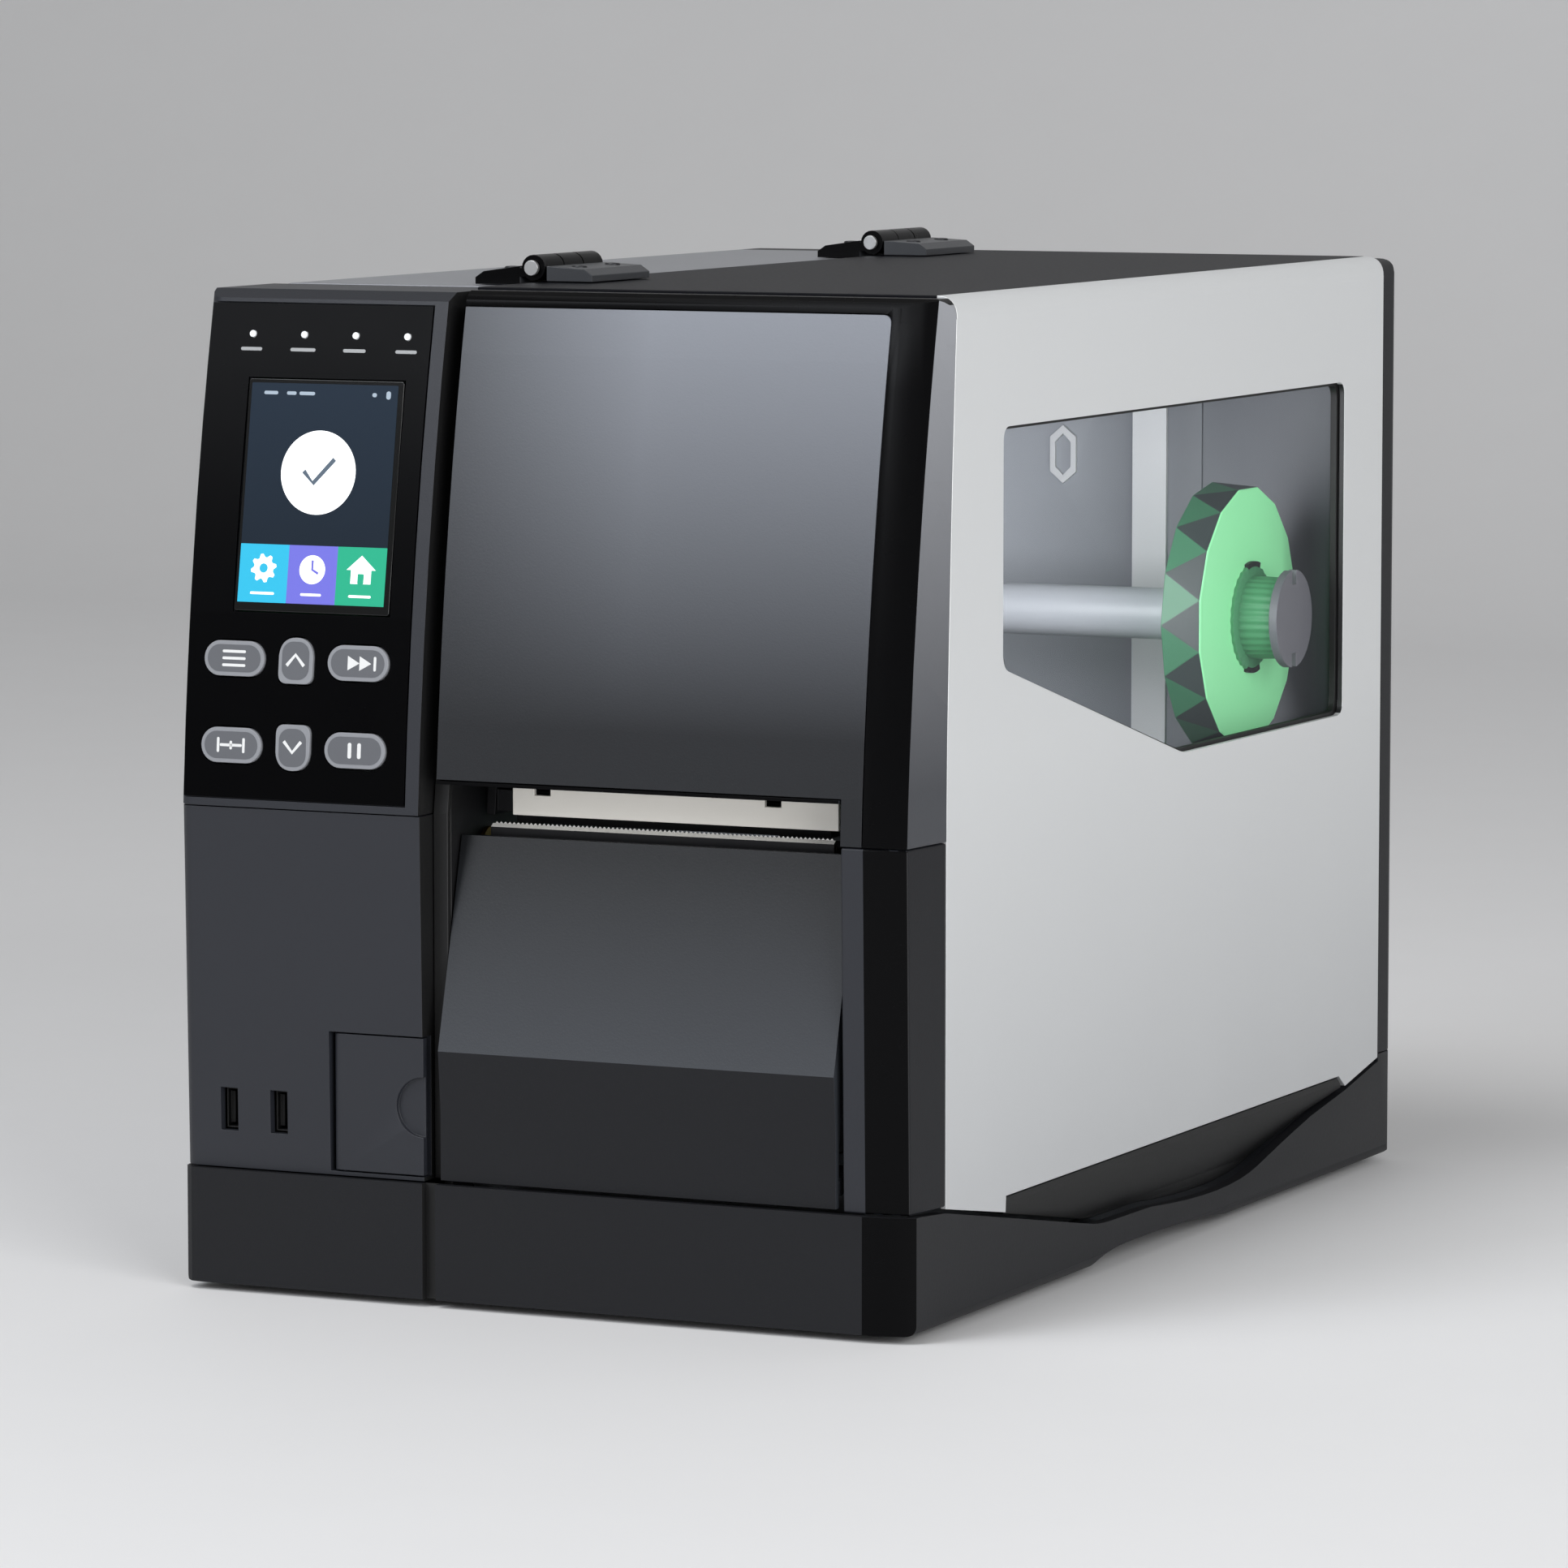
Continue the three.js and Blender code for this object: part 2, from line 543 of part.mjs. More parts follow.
// Two upright sockets on one carrier, each with a contact tongue.
function usbPorts() {
  let ports = block(USB.x[0] - 6, USB.x[1] + 6, 16, 18, USB.level - 9, USB.level + 9);
  for (const x of USB.x) {
    ports = ports.add(block(x - 2.85, x + 2.85, 5.6, 17, USB.level - 6.6, USB.level + 6.6));
    ports = ports.subtract(block(x - 2.3, x + 2.3, 5, 15, USB.level - 6, USB.level + 6));
    ports = ports.add(block(x - 2.4, x - 0.7, 7.6, 15.5, USB.level - 5.2, USB.level + 5.2));
  }
  return ports;
}
add("usb_ports", usbPorts(), steel);

const ACCESS_BARREL = 2.9;
function accessDoor() {
  const front = ACCESS_AXIS.depth - ACCESS_BARREL;
  const thick = 2.6;
  let door = union(
    block(ACCESS_AXIS.x, SPLIT_LEFT, front, front + thick, ACCESS.low, ACCESS.high),
    bar("z", ACCESS_BARREL, ACCESS.low, ACCESS.high, ACCESS_AXIS.x, ACCESS_AXIS.depth, 20),
    bar("z", 0.85, ACCESS.low - 1.4, ACCESS.high + 1.4, ACCESS_AXIS.x, ACCESS_AXIS.depth, 12));
  // The half-moon finger dish at the free edge.
  return door.subtract(bar("y", 9.6, front - 1, front + 1.6, SPLIT_LEFT, 61, 32));
}
add("access_door", accessDoor(), charcoal);

// ---------------------------------------------------------------- right front column
function rightColumn() {
  const top = SEAM - GAP;
  const bottom = BASE_TOP + GAP;
  const plan = (inset, back) => [
    [EXIT_RIGHT + inset, inset], ...cornerPoints(FRONT_CREASE, inset),
    [HALF - inset, back], [EXIT_RIGHT + inset, back]];
  const lean = nearFront(lowerDepth);
  const column = leaning(plan(0, FRONT_DEPTH), bottom, top, lean, 4);
  return column.subtract(leaning(plan(2.6, FRONT_DEPTH + 5), bottom - 1, top - WALL, lean, 4));
}
add("front_right_column", rightColumn(), charcoal);

// ---------------------------------------------------------------- label door
const LABEL_DOOR = { left: SPLIT_RIGHT, right: 101.8, crease: 79.5, top: 146.6, topDepth: 18, thick: 2.4 };
const LABEL_BARREL = 2.6;
const LUGS = [-22, 86];
const LUG_WIDE = 6;

function labelDoor() {
  const d = LABEL_DOOR;
  const face = LABEL_AXIS.depth - 4.5;
  const sheet = [
    [face, 38.2], [face, 60], [0.9, d.crease], [d.topDepth, d.top],
    [d.topDepth + d.thick, d.top], [0.9 + d.thick, d.crease - 0.6],
    [face + d.thick, 60], [face + d.thick, 38.2]];
  let door = alongX(sheet, d.left, d.right);
  door = door.add(bar("x", LABEL_BARREL, d.left, d.right, LABEL_AXIS.depth, LABEL_AXIS.level, 20));
  // Stiffening cheeks at both ends.
  const cheek = [[face + 2, 56], [2.5, d.crease], [d.topDepth + 2, d.top - 2], [d.topDepth + 2, 116]];
  for (const x of [d.left, d.right - 2.4]) door = door.add(alongX(cheek, x, x + 2.4));
  // The barrel is cut away round the lugs that hold its core.
  const half = LUG_WIDE / 2;
  for (const x of LUGS) {
    door = door.subtract(block(x - half - 0.5, x + half + 0.5, face + d.thick + 0.01, 14, 36, 54));
    door = door.add(bar("x", 1.4, x - half - 2, x + half + 2, LABEL_AXIS.depth, LABEL_AXIS.level, 16));
  }
  return door;
}
add("label_door", labelDoor(), charcoal);

// ---------------------------------------------------------------- media door
const FRAME_TOP = 318.4;
const FOLD = 7; // radius of the door's long upper edge
const PANEL_TOP = 313.4;
const PANEL_LOW = 165.8;
const PANEL_RIGHT = 111.4;
const PANEL_THICK = 2;
const SIDE_FLARE = 160;

// The seam between the door's front frame and its side panel follows the front's lean near the top.
const sideSeam = (level) =>
  FRONT_DEPTH + 7.2 * Math.pow(Math.max(0, level - SIDE_FLARE) / (FRAME_TOP - SIDE_FLARE), 1.5);

// The door's upper right edge, seen from the front, as far down as the level "low".
function foldedEdge(left, low) {
  const edge = new THREE.Shape();
  edge.moveTo(left, low);
  edge.lineTo(HALF, low);
  edge.lineTo(HALF, DOOR_TOP - FOLD);
  edge.quadraticCurveTo(HALF, DOOR_TOP, HALF - FOLD, DOOR_TOP);
  edge.lineTo(left, DOOR_TOP);
  return edge;
}

// The front panel, seen from the front: a plate with a leg down the right of the label exit.
function panelOutline(grow) {
  const [right, top, low, r] = [PANEL_RIGHT + grow, PANEL_TOP + grow, PANEL_LOW - grow, 3];
  const outline = new THREE.Shape();
  outline.moveTo(SPLIT_RIGHT - 2 * grow, low);
  outline.lineTo(EXIT_RIGHT - 2 * grow, low);
  outline.lineTo(EXIT_RIGHT - 2 * grow, SEAM - 2 * grow);
  outline.lineTo(right, SEAM - 2 * grow);
  outline.lineTo(right, top - r);
  outline.quadraticCurveTo(right, top, right - r, top);
  outline.lineTo(SPLIT_RIGHT - 2 * grow, top);
  return outline;
}

function doorFrontFrame() {
  const back = 50;
  const lean = (level, depth) => (depth < 15 ? frontDepth(level) : sideSeam(level) - FRONT_DEPTH);
  const plan = [
    [SPLIT_RIGHT, 0], ...cornerPoints(FRONT_CREASE), [HALF, FRONT_DEPTH], [HALF, back], [SPLIT_RIGHT, back]];
  let frame = leaning(plan, SEAM, FRAME_TOP, lean, 12).intersect(alongY(foldedEdge(-60, SEAM - 1), -5, 60));
  // Everything behind the seam is cut away.
  const seam = steps(SEAM - 1, FRAME_TOP + 1, 8).map((level) => [sideSeam(level), level]);
  const behind = [...seam, [80, FRAME_TOP + 1], [80, SEAM - 1]];
  frame = frame.subtract(alongX(behind, SPLIT_RIGHT - 1, HALF + 1));
  const hollow = [[SPLIT_RIGHT + WALL, 5], [HALF - WALL - 1, 7], [HALF - WALL, 60], [SPLIT_RIGHT + WALL, 60]];
  frame = frame.subtract(leaning(hollow, SEAM - 1, FRAME_TOP - WALL, lean, 12));
  // The upper front edge is rolled.
  const edge = frontDepth(316);
  const roll = [
    [edge - 9, 315.6], [edge, 315.6], [edge + 1, 317.2], [edge + 3.4, FRAME_TOP + 0.1], [edge - 9, 330]];
  frame = frame.subtract(alongX(roll, SPLIT_RIGHT - 1, HALF + 1));
  // The label exit under the panel, and the rebate for the panel.
  frame = frame.subtract(block(SPLIT_RIGHT - 1, EXIT_RIGHT, -5, 60, SEAM - 1, PANEL_LOW - 1.5));
  const rebate = leaning(rectangle(-60, 120, -6, PANEL_THICK + 0.3), SEAM - 2, PANEL_TOP + 2, frontDepth);
  return frame.subtract(rebate.intersect(alongY(panelOutline(GAP), -20, 60)));
}
add("door_front_frame", doorFrontFrame(), glossBlack);

const panelSheet = leaning(rectangle(-60, 120, 0, PANEL_THICK), SEAM - 2, PANEL_TOP + 2, frontDepth, 10);
add("door_front_panel", panelSheet.intersect(alongY(panelOutline(0), -20, 60)), charcoal);

// Side view of the window: its lower front corner is cut off on a slant.
const WINDOW = [[69.7, 277], [69.7, 201.3], [220.4, 161.2], [367, 161.2], [367, 277]];

function doorSidePanel() {
  const top = DOOR_TOP - FOLD;
  const outline = [
    ...steps(SIDE_FLARE, top, 6).map((l) => [sideSeam(l) + GAP, l]).reverse(),
    [FRONT_DEPTH + GAP, 36.6], [73, 28.8], [73.4, 34], [366.5, 34], [372.8, 29.8],
    [REAR - GAP, 35.8], [REAR - GAP, top]];
  let panel = alongX(outline, HALF - SHEET, HALF);
  // The top edge is folded over in a radius.
  const fold = new THREE.Shape();
  fold.moveTo(HALF, top - 0.5);
  fold.lineTo(HALF, top);
  fold.quadraticCurveTo(HALF, DOOR_TOP, HALF - FOLD, DOOR_TOP);
  fold.lineTo(HALF - FOLD, DOOR_TOP - SHEET);
  fold.quadraticCurveTo(HALF - SHEET, DOOR_TOP - SHEET, HALF - SHEET, top);
  fold.lineTo(HALF - SHEET, top - 0.5);
  fold.closePath();
  panel = panel.add(alongY(fold, sideSeam(FRAME_TOP) + GAP, REAR - GAP));
  return panel.subtract(alongX(roundedPolygon(WINDOW, 5), HALF - 10, HALF + 1));
}
add("door_side_panel", doorSidePanel(), silver);

// The moulded liner behind the side panel carries the pane in a step round the window.
const LINER_IN = HALF - 6.4;
const PANE = { front: 62, back: 374, low: 153, high: 285 };
function doorLiner() {
  let liner = block(LINER_IN, HALF - SHEET - 0.3, 36, REAR - 2, 38, 308);
  const centre = [218, 222];
  const opening = WINDOW.map(
    ([d, l]) => [centre[0] + (d - centre[0]) * 0.99, centre[1] + (l - centre[1]) * 0.98]);
  liner = liner.subtract(alongX(roundedPolygon(opening, 5), LINER_IN - 1, HALF));
  return liner.subtract(block(LINER_IN - 1, LINER_IN + 1.8, PANE.front, PANE.back, PANE.low, PANE.high));
}
add("door_liner", doorLiner(), charcoal);
const pane = block(
  LINER_IN, LINER_IN + 1.5, PANE.front + GAP, PANE.back - GAP, PANE.low + GAP, PANE.high - GAP);
add("door_window", pane, smoke);

function doorTopPanel() {
  const left = HINGE_X + 0.5;
  const front = sideSeam(FRAME_TOP) + GAP + 0.4;
  let top = block(left, HALF - FOLD - 0.3, front, REAR - GAP, DOOR_TOP - 2.6, DOOR_TOP);
  // Flanges hang from both edges.
  top = top.add(block(left, left + 2.4, 36, REAR - 2, DOOR_TOP - 7, DOOR_TOP - 2));
  return top.add(block(HALF - 12, HALF - 9.4, 36, REAR - 2, DOOR_TOP - 9, DOOR_TOP - 2));
}
add("door_top_panel", doorTopPanel(), doorTop);

// The grip closes the door's lower edge above the dip in the base. Its face slants inwards, so that
// fingers reach under it from the right and lift.
const GRIP = { front: 73.8, back: 372, top: 33.5 };
function doorGrip() {
  const { front, back, top } = GRIP;
  const section = [
    [HALF - 0.4, top], [HALF - 0.4, 31.4], [HALF - 5, 16], [HALF - 6, 8], [HALF - 12, 8], [HALF - 12, top]];
  let grip = alongY(section, front, back).intersect(alongX(sideLine(1.2), HALF - 13, HALF));
  const slant = [[366, top], [372.4, 28.6], [380, 28.6], [380, 40], [366, 40]];
  grip = grip.subtract(alongX(slant, HALF - 13, HALF));
  return grip.add(block(HALF - 8, HALF - 4.2, 84, 352, top - 0.5, top + 4.1));
}
add("door_grip", doorGrip(), charcoal);

// ---------------------------------------------------------------- top hinges
const KNUCKLE = 4.2;
function hinge(name, depth) {
  const third = HINGE_LONG / 3;
  const span = (i) => [depth + i * third + (i ? 0.3 : 0), depth + (i + 1) * third - (i < 2 ? 0.3 : 0)];
  const knuckle = (i) => bar("y", KNUCKLE, ...span(i), HINGE_X, HINGE_Z, 20);
  const bore = bar("y", 2.2, depth - 1, depth + HINGE_LONG + 1, HINGE_X, HINGE_Z, 16);
  // A leaf is a thick bar with a sloping end, screwed to the sheet that starts at the level "low".
  const section = (low) => [
    [4.7, low], [HINGE_REACH, low], [HINGE_REACH, low + 2.2], [HINGE_REACH - 3, low + 4.2],
    [4.7, HINGE_Z + 0.6]];
  const leaf = (side, low) =>
    alongY(section(low).map(([x, level]) => [HINGE_X + side * x, level]), depth, depth + HINGE_LONG);
  const web = (i, x0, x1) => block(x0, x1, ...span(i), HINGE_Z - 3, HINGE_Z);
  let fixed = leaf(-1, COVER_TOP + 0.3);
  let moving = leaf(1, DOOR_TOP + 0.3);
  fixed = union(fixed, ...[0, 2].flatMap((i) => [knuckle(i), web(i, HINGE_X - 5, HINGE_X - 2.8)]));
  moving = union(moving, knuckle(1), web(1, HINGE_X + 2.8, HINGE_X + 5));
  for (const along of [9, HINGE_LONG - 9]) {
    fixed = fixed.subtract(bar("z", 2, COVER_TOP, COVER_TOP + 8, HINGE_X - 12, depth + along, 12));
    moving = moving.subtract(bar("z", 2, DOOR_TOP, DOOR_TOP + 8, HINGE_X + 12, depth + along, 12));
  }
  add(`${name}_fixed_leaf`, fixed.subtract(bore), charcoal);
  add(`${name}_door_leaf`, moving.subtract(bore), charcoal);
  const head = (d) => bar("y", 2.5, d, d + 1.4, HINGE_X, HINGE_Z, 16);
  const pin = bar("y", 1.8, depth - 1, depth + HINGE_LONG + 1, HINGE_X, HINGE_Z, 16);
  add(`${name}_pin`, union(pin, head(depth - 1.8), head(depth + HINGE_LONG + 0.4)), steel);
}
hinge("front_hinge", HINGE_DEPTHS[0]);
hinge("rear_hinge", HINGE_DEPTHS[1]);

// ---------------------------------------------------------------- print mechanism
const MECH_LEFT = WALL_RIGHT + GAP;
const MECH_RIGHT = 98;

// A deck for the stock, a side plate at the right, a foot and a front riser with the label door's lugs.
function mechanismFrame() {
  const plate = roundedPolygon(
    [[26, 4.4], [206, 4.4], [206, 118], [150, 150], [134, 200], [80, 200], [68, 152], [26, 150]], 4);
  let frame = union(
    alongX(plate, MECH_RIGHT, MECH_RIGHT + 3),
    block(MECH_LEFT, MECH_RIGHT + 1, 50, 206, 129, 132),
    block(MECH_LEFT, MECH_RIGHT + 1, 50, 53, 112, 130),
    block(MECH_LEFT, MECH_RIGHT + 1, 26, 204, 4.4, 8),
    block(MECH_LEFT, MECH_RIGHT + 1, 26, 29, 5, 48));
  const { depth, level } = LABEL_AXIS;
  for (const x of LUGS) {
    const [left, right] = [x - LUG_WIDE / 2, x + LUG_WIDE / 2];
    const lug = union(
      block(left, right, depth, 27, level - 1.6, level + 2),
      bar("x", 2.05, left, right, depth, level, 16));
    const bore = bar("x", 1.7, x - 5, x + 5, depth, level, 16);
    frame = frame.add(lug.subtract(bore));
  }
  for (const [centre, radius] of [[PLATEN, 6.4], [HEAD_PIVOT, 4.4], [LEVER_PIVOT, 4.4]])
    frame = frame.subtract(bar("x", radius, MECH_RIGHT - 1, MECH_RIGHT + 4, centre.depth, centre.level, 20));
  return frame;
}
add("mechanism_frame", mechanismFrame(), zinc);

// The tear bar stands in front of the platen on a bracket that reaches back to the deck.
const tearBar = alongX(
  [[23.4, 118], [49.6, 118], [49.6, 120], [24.6, 120], [24.6, 145], [26, 149.8], [24.8, 150], [23.4, 149]],
  -28, 91.5);
add("tear_bar", tearBar, steel);

// A spur gear on an x axis, its teeth plain trapezoids.
function gear(teeth, module, x0, x1, centre, phase) {
  const [root, tip] = [(teeth / 2 - 1.15) * module, (teeth / 2 + 0.85) * module];
  const pitch = (2 * Math.PI) / teeth;
  const corners = [[root, -0.26], [tip, -0.11], [tip, 0.11], [root, 0.26]];
  const points = Array.from({ length: teeth }, (_, i) =>
    corners.map(([r, share]) => {
      const a = phase + (i + share) * pitch;
      return [centre.depth + r * Math.cos(a), centre.level + r * Math.sin(a)];
    })).flat();
  return alongX(points, x0, x1);
}

const GEAR_TEETH = 16;
const PINION_TEETH = 12;
const MOTOR = { depth: PLATEN.depth + 8.1, level: PLATEN.level - 11.5 };
const meshAngle = Math.atan2(MOTOR.level - PLATEN.level, MOTOR.depth - PLATEN.depth);

const platenShaft = bar("x", 3.9, -49.5, 102.6, PLATEN.depth, PLATEN.level, 20).add(
  gear(GEAR_TEETH, 1, -49, -44, PLATEN, meshAngle + Math.PI / GEAR_TEETH));
add("platen_shaft", platenShaft, steel);

const tube = (outer, inner, x0, x1, centre, sides) =>
  bar("x", outer, x0, x1, centre.depth, centre.level, sides).subtract(
    bar("x", inner, x0 - 1, x1 + 1, centre.depth, centre.level, sides));
add("platen_roller", tube(PLATEN.radius, 4.2, -29, 91, PLATEN, 28), rubber);
add("platen_bearing_left", union(
  tube(6, 4.3, WALL_LEFT - 0.8, WALL_RIGHT + 1, PLATEN, 24),
  tube(7.6, 4.3, WALL_RIGHT + 0.4, WALL_RIGHT + 1.8, PLATEN, 24)), brass);
add("platen_bearing_right", union(
  tube(6, 4.3, MECH_RIGHT - 1, MECH_RIGHT + 3.6, PLATEN, 24),
  tube(7.6, 4.3, MECH_RIGHT - 1.8, MECH_RIGHT - 0.4, PLATEN, 24)), brass);

add("drive_motor", union(
  block(-96, -53, MOTOR.depth - 19.6, MOTOR.depth + 19.6, MOTOR.level - 19.6, MOTOR.level + 19.6),
  bar("x", 11, -54, -51, MOTOR.depth, MOTOR.level, 24)), steel);
add("motor_pinion", union(
  gear(PINION_TEETH, 1, -49, -44, MOTOR, meshAngle + Math.PI),
  bar("x", 2.5, -50.6, -43, MOTOR.depth, MOTOR.level, 12)), brass);

// The head carriage swings on a shaft behind the platen and carries the print head over it.
function headCarriage() {
  const side = [
    [108, 166], [124, 166], [124, 182], [108, 184], [62, 172], [32, 168], [30, 152], [40, 152], [60, 158]];
  let carriage = bar("x", 4, WALL_LEFT - 3, MECH_RIGHT + 5, HEAD_PIVOT.depth, HEAD_PIVOT.level, 20);
  for (const x of [-33, 90]) carriage = carriage.add(alongX(side, x, x + 3));
  carriage = carriage.add(block(-33, 93, 62, 116, 169, 172));
  // The head's finned block.
  carriage = carriage.add(block(-31, 91, 32, 62, 153, 160));
  for (let i = 0; i < 5; i++) carriage = carriage.add(block(-31, 91, 36 + i * 6, 38.4 + i * 6, 159, 166));
  return carriage.add(block(-24, 86, 33.5, 40, 149.6, 154));
}
add("head_carriage", headCarriage(), zinc);

// The light metal plate in front of the head, with two notches in its top edge.
function headCover() {
  let plate = block(-21.5, 92, 25.8, 27.4, 152.8, 164.6).add(block(-21.5, 89.4, 25.8, 31.6, 154.6, 156));
  for (const x of [-11, 69.5]) plate = plate.subtract(block(x - 2.8, x + 2.8, 24, 29, 159.4, 166));
  return plate;
}
add("head_cover_plate", headCover(), silver);

function headLever() {
  const p = LEVER_PIVOT;
  const arm = [[0, -6], [0, 6], [-36, 2], [-38, -8], [-30, -10]].map(([d, l]) => [p.depth + d, p.level + l]);
  return union(
    bar("x", 4, MECH_RIGHT - 2.6, 103, p.depth, p.level, 20),
    bar("x", 9, 101.5, 108, p.depth, p.level, 24),
    alongX(arm, 102, 106),
    block(102, 116, p.depth - 38, p.depth - 33, p.level - 8, p.level + 1.6));
}
add("head_lever", headLever(), green);

// The label sensor straddles the stock behind the head.
add("label_sensor", union(
  block(20, 38, 128, 146, 134.2, 137),
  block(20, 38, 128, 146, 142, 146),
  block(20, 38, 142, 146, 136, 143)), rubber);

// ---------------------------------------------------------------- media supply
const SUPPLY_END = 119;
const GUIDE = { face: 102, thick: 14, front: 45.6, back: 46.6, hub: 18.3, boss: 14 };

// The hanger: a nut and a flange clamp it to the bay wall, and an end cap closes its free end.
function mediaHanger() {
  const round = (r, x0, x1, sides) => bar("x", r, x0, x1, HANGER.depth, HANGER.level, sides);
  const hanger = union(
    round(9, WALL_LEFT - 6, SUPPLY_END, 24), round(14, WALL_LEFT - 6, WALL_LEFT - 0.4, 6),
    round(16, WALL_RIGHT + 0.4, WALL_RIGHT + 3.4, 24), round(17, SUPPLY_END - 3, SUPPLY_END, 32));
  const notch = (l0, l1) => block(SUPPLY_END - 4, SUPPLY_END + 1, HANGER.depth - 2, HANGER.depth + 2, l0, l1);
  return hanger
    .subtract(notch(HANGER.level + 12, HANGER.level + 18))
    .subtract(notch(HANGER.level - 18, HANGER.level - 12));
}
add("media_hanger", mediaHanger(), greyPlastic);

// The guide is a sixteen-sided disc with a stepped hub that reaches the cap, and slides on the hanger.
function mediaGuide() {
  const flank = new THREE.CylinderGeometry(GUIDE.front, GUIDE.back, GUIDE.thick, 16);
  flank.rotateZ(-Math.PI / 2);
  flank.translate(GUIDE.face - GUIDE.thick / 2, DEPTH_0 + HANGER.depth, LEVEL_0 + HANGER.level);
  const round = (r, x0, x1) => bar("x", r, x0, x1, HANGER.depth, HANGER.level, 24);
  return solid(flank)
    .add(round(GUIDE.hub, GUIDE.face - 2, GUIDE.face + 1.6))
    .add(round(GUIDE.boss, GUIDE.face, SUPPLY_END - 3.6))
    .subtract(round(9.4, GUIDE.face - GUIDE.thick - 1, SUPPLY_END));
}
add("media_guide", mediaGuide(), green);

// ---------------------------------------------------------------- electronics
function powerSupply() {
  return block(-118, -58, 236, 378, 8, 11).add(block(-112, -64, 250, 360, 10, 46));
}
add("power_supply", powerSupply(), zinc);

function mainBoard() {
  let pcb = block(-51.4, -49.8, 226, 404, 132, 292);
  pcb = pcb.add(block(-56, -51, 262, 300, 190, 228));
  for (const [x, level, w, h, tongue] of SOCKETS) {
    const [half, tall] = [w / 2, h / 2];
    pcb = pcb.add(block(x - half, -51, DEPTH - 32, DEPTH - 14, level - tall, level + tall));
    pcb = pcb.add(block(x - half, x + half, DEPTH - 32, DEPTH - 0.6, level - tall, level + tall));
    pcb = pcb.subtract(
      block(x - half + 1, x + half - 1, DEPTH - 10, DEPTH + 1, level - tall + 1, level + tall - 1));
    if (!tongue) continue;
    const [left, right] = [x - tongue / 2, x + tongue / 2];
    pcb = pcb.add(block(left, right, DEPTH - 11, DEPTH - 1.6, level - tall + 2, level + tall - 2));
  }
  return pcb;
}
add("main_board", mainBoard(), board);

// The mains inlet: a cavity with three blades.
function mainsInlet() {
  const { x, level } = INLET;
  let inlet = union(
    block(x - 13.6, x + 13.6, DEPTH - 24, DEPTH - 0.4, level - 10.6, level + 10.6),
    block(x - 15, x + 15, DEPTH - 7, DEPTH - 4.4, level - 12, level + 12));
  const cavity = [[-12, -8], [12, -8], [12, 3.4], [7.4, 8], [-7.4, 8], [-12, 3.4]];
  inlet = inlet.subtract(alongY(cavity.map(([a, b]) => [x + a, level + b]), DEPTH - 18, DEPTH + 1));
  for (const [dx, dl] of [[-7, -2], [7, -2], [0, 2]])
    inlet = inlet.add(block(x + dx - 1, x + dx + 1, DEPTH - 19, DEPTH - 4, level + dl - 2, level + dl + 2));
  return inlet;
}
add("mains_inlet", mainsInlet(), rubber);

function powerSwitch() {
  const { x, level } = SWITCH;
  const tilt = [
    [DEPTH - 8, level - 8.2], [DEPTH - 0.4, level - 8.2], [DEPTH - 3, level],
    [DEPTH - 4.6, level + 8.2], [DEPTH - 8, level + 8.2]];
  return alongX(tilt, x - 6, x + 6).add(bar("x", 1.5, x - 9.5, x + 9.5, DEPTH - 6, level, 12));
}
add("power_switch", powerSwitch(), rubber);

function switchBezel() {
  const { x, level } = SWITCH;
  return union(
    block(x - 7.6, x + 7.6, DEPTH - 22, DEPTH - 0.4, level - 10.6, level + 10.6),
    block(x - 10.6, x + 10.6, DEPTH - 9, DEPTH - 4.4, level - 11.8, level + 11.8))
    .subtract(block(x - 6.4, x + 6.4, DEPTH - 16, DEPTH + 1, level - 9.8, level + 9.8))
    .subtract(bar("x", 1.9, x - 10, x + 10, DEPTH - 6, level, 12));
}
add("switch_bezel", switchBezel(), rubber);

export default printer;
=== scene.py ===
"""Bench-top thermal label printer: finishes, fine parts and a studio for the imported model."""
import json
import math

import bmesh
import bpy
import numpy as np
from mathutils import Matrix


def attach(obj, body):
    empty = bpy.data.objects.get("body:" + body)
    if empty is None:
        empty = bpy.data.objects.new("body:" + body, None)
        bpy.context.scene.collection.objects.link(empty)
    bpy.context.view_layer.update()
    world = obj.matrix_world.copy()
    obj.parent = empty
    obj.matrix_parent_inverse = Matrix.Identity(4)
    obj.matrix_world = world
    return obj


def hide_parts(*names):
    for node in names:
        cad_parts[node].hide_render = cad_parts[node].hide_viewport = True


bl_info = {
    "name": "Bench label printer",
    "version": (1, 0, 0),
    "blender": (4, 5, 0),
    "location": "View3D > Sidebar > Label printer",
    "description": "Builds the finished look of a bench-top label printer on its packed frame",
    "category": "Object",
}

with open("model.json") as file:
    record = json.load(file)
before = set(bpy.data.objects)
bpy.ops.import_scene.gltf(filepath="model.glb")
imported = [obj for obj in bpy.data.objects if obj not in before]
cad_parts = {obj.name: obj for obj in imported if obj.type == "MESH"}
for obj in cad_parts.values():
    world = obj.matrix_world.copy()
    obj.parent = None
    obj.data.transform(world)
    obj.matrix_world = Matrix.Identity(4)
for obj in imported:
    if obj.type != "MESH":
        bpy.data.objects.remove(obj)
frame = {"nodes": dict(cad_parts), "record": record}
BODY_OF = {n: b for b, ns in frame["record"]["behaviour"]["bodies"].items() for n in ns}
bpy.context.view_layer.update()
MM = 0.001

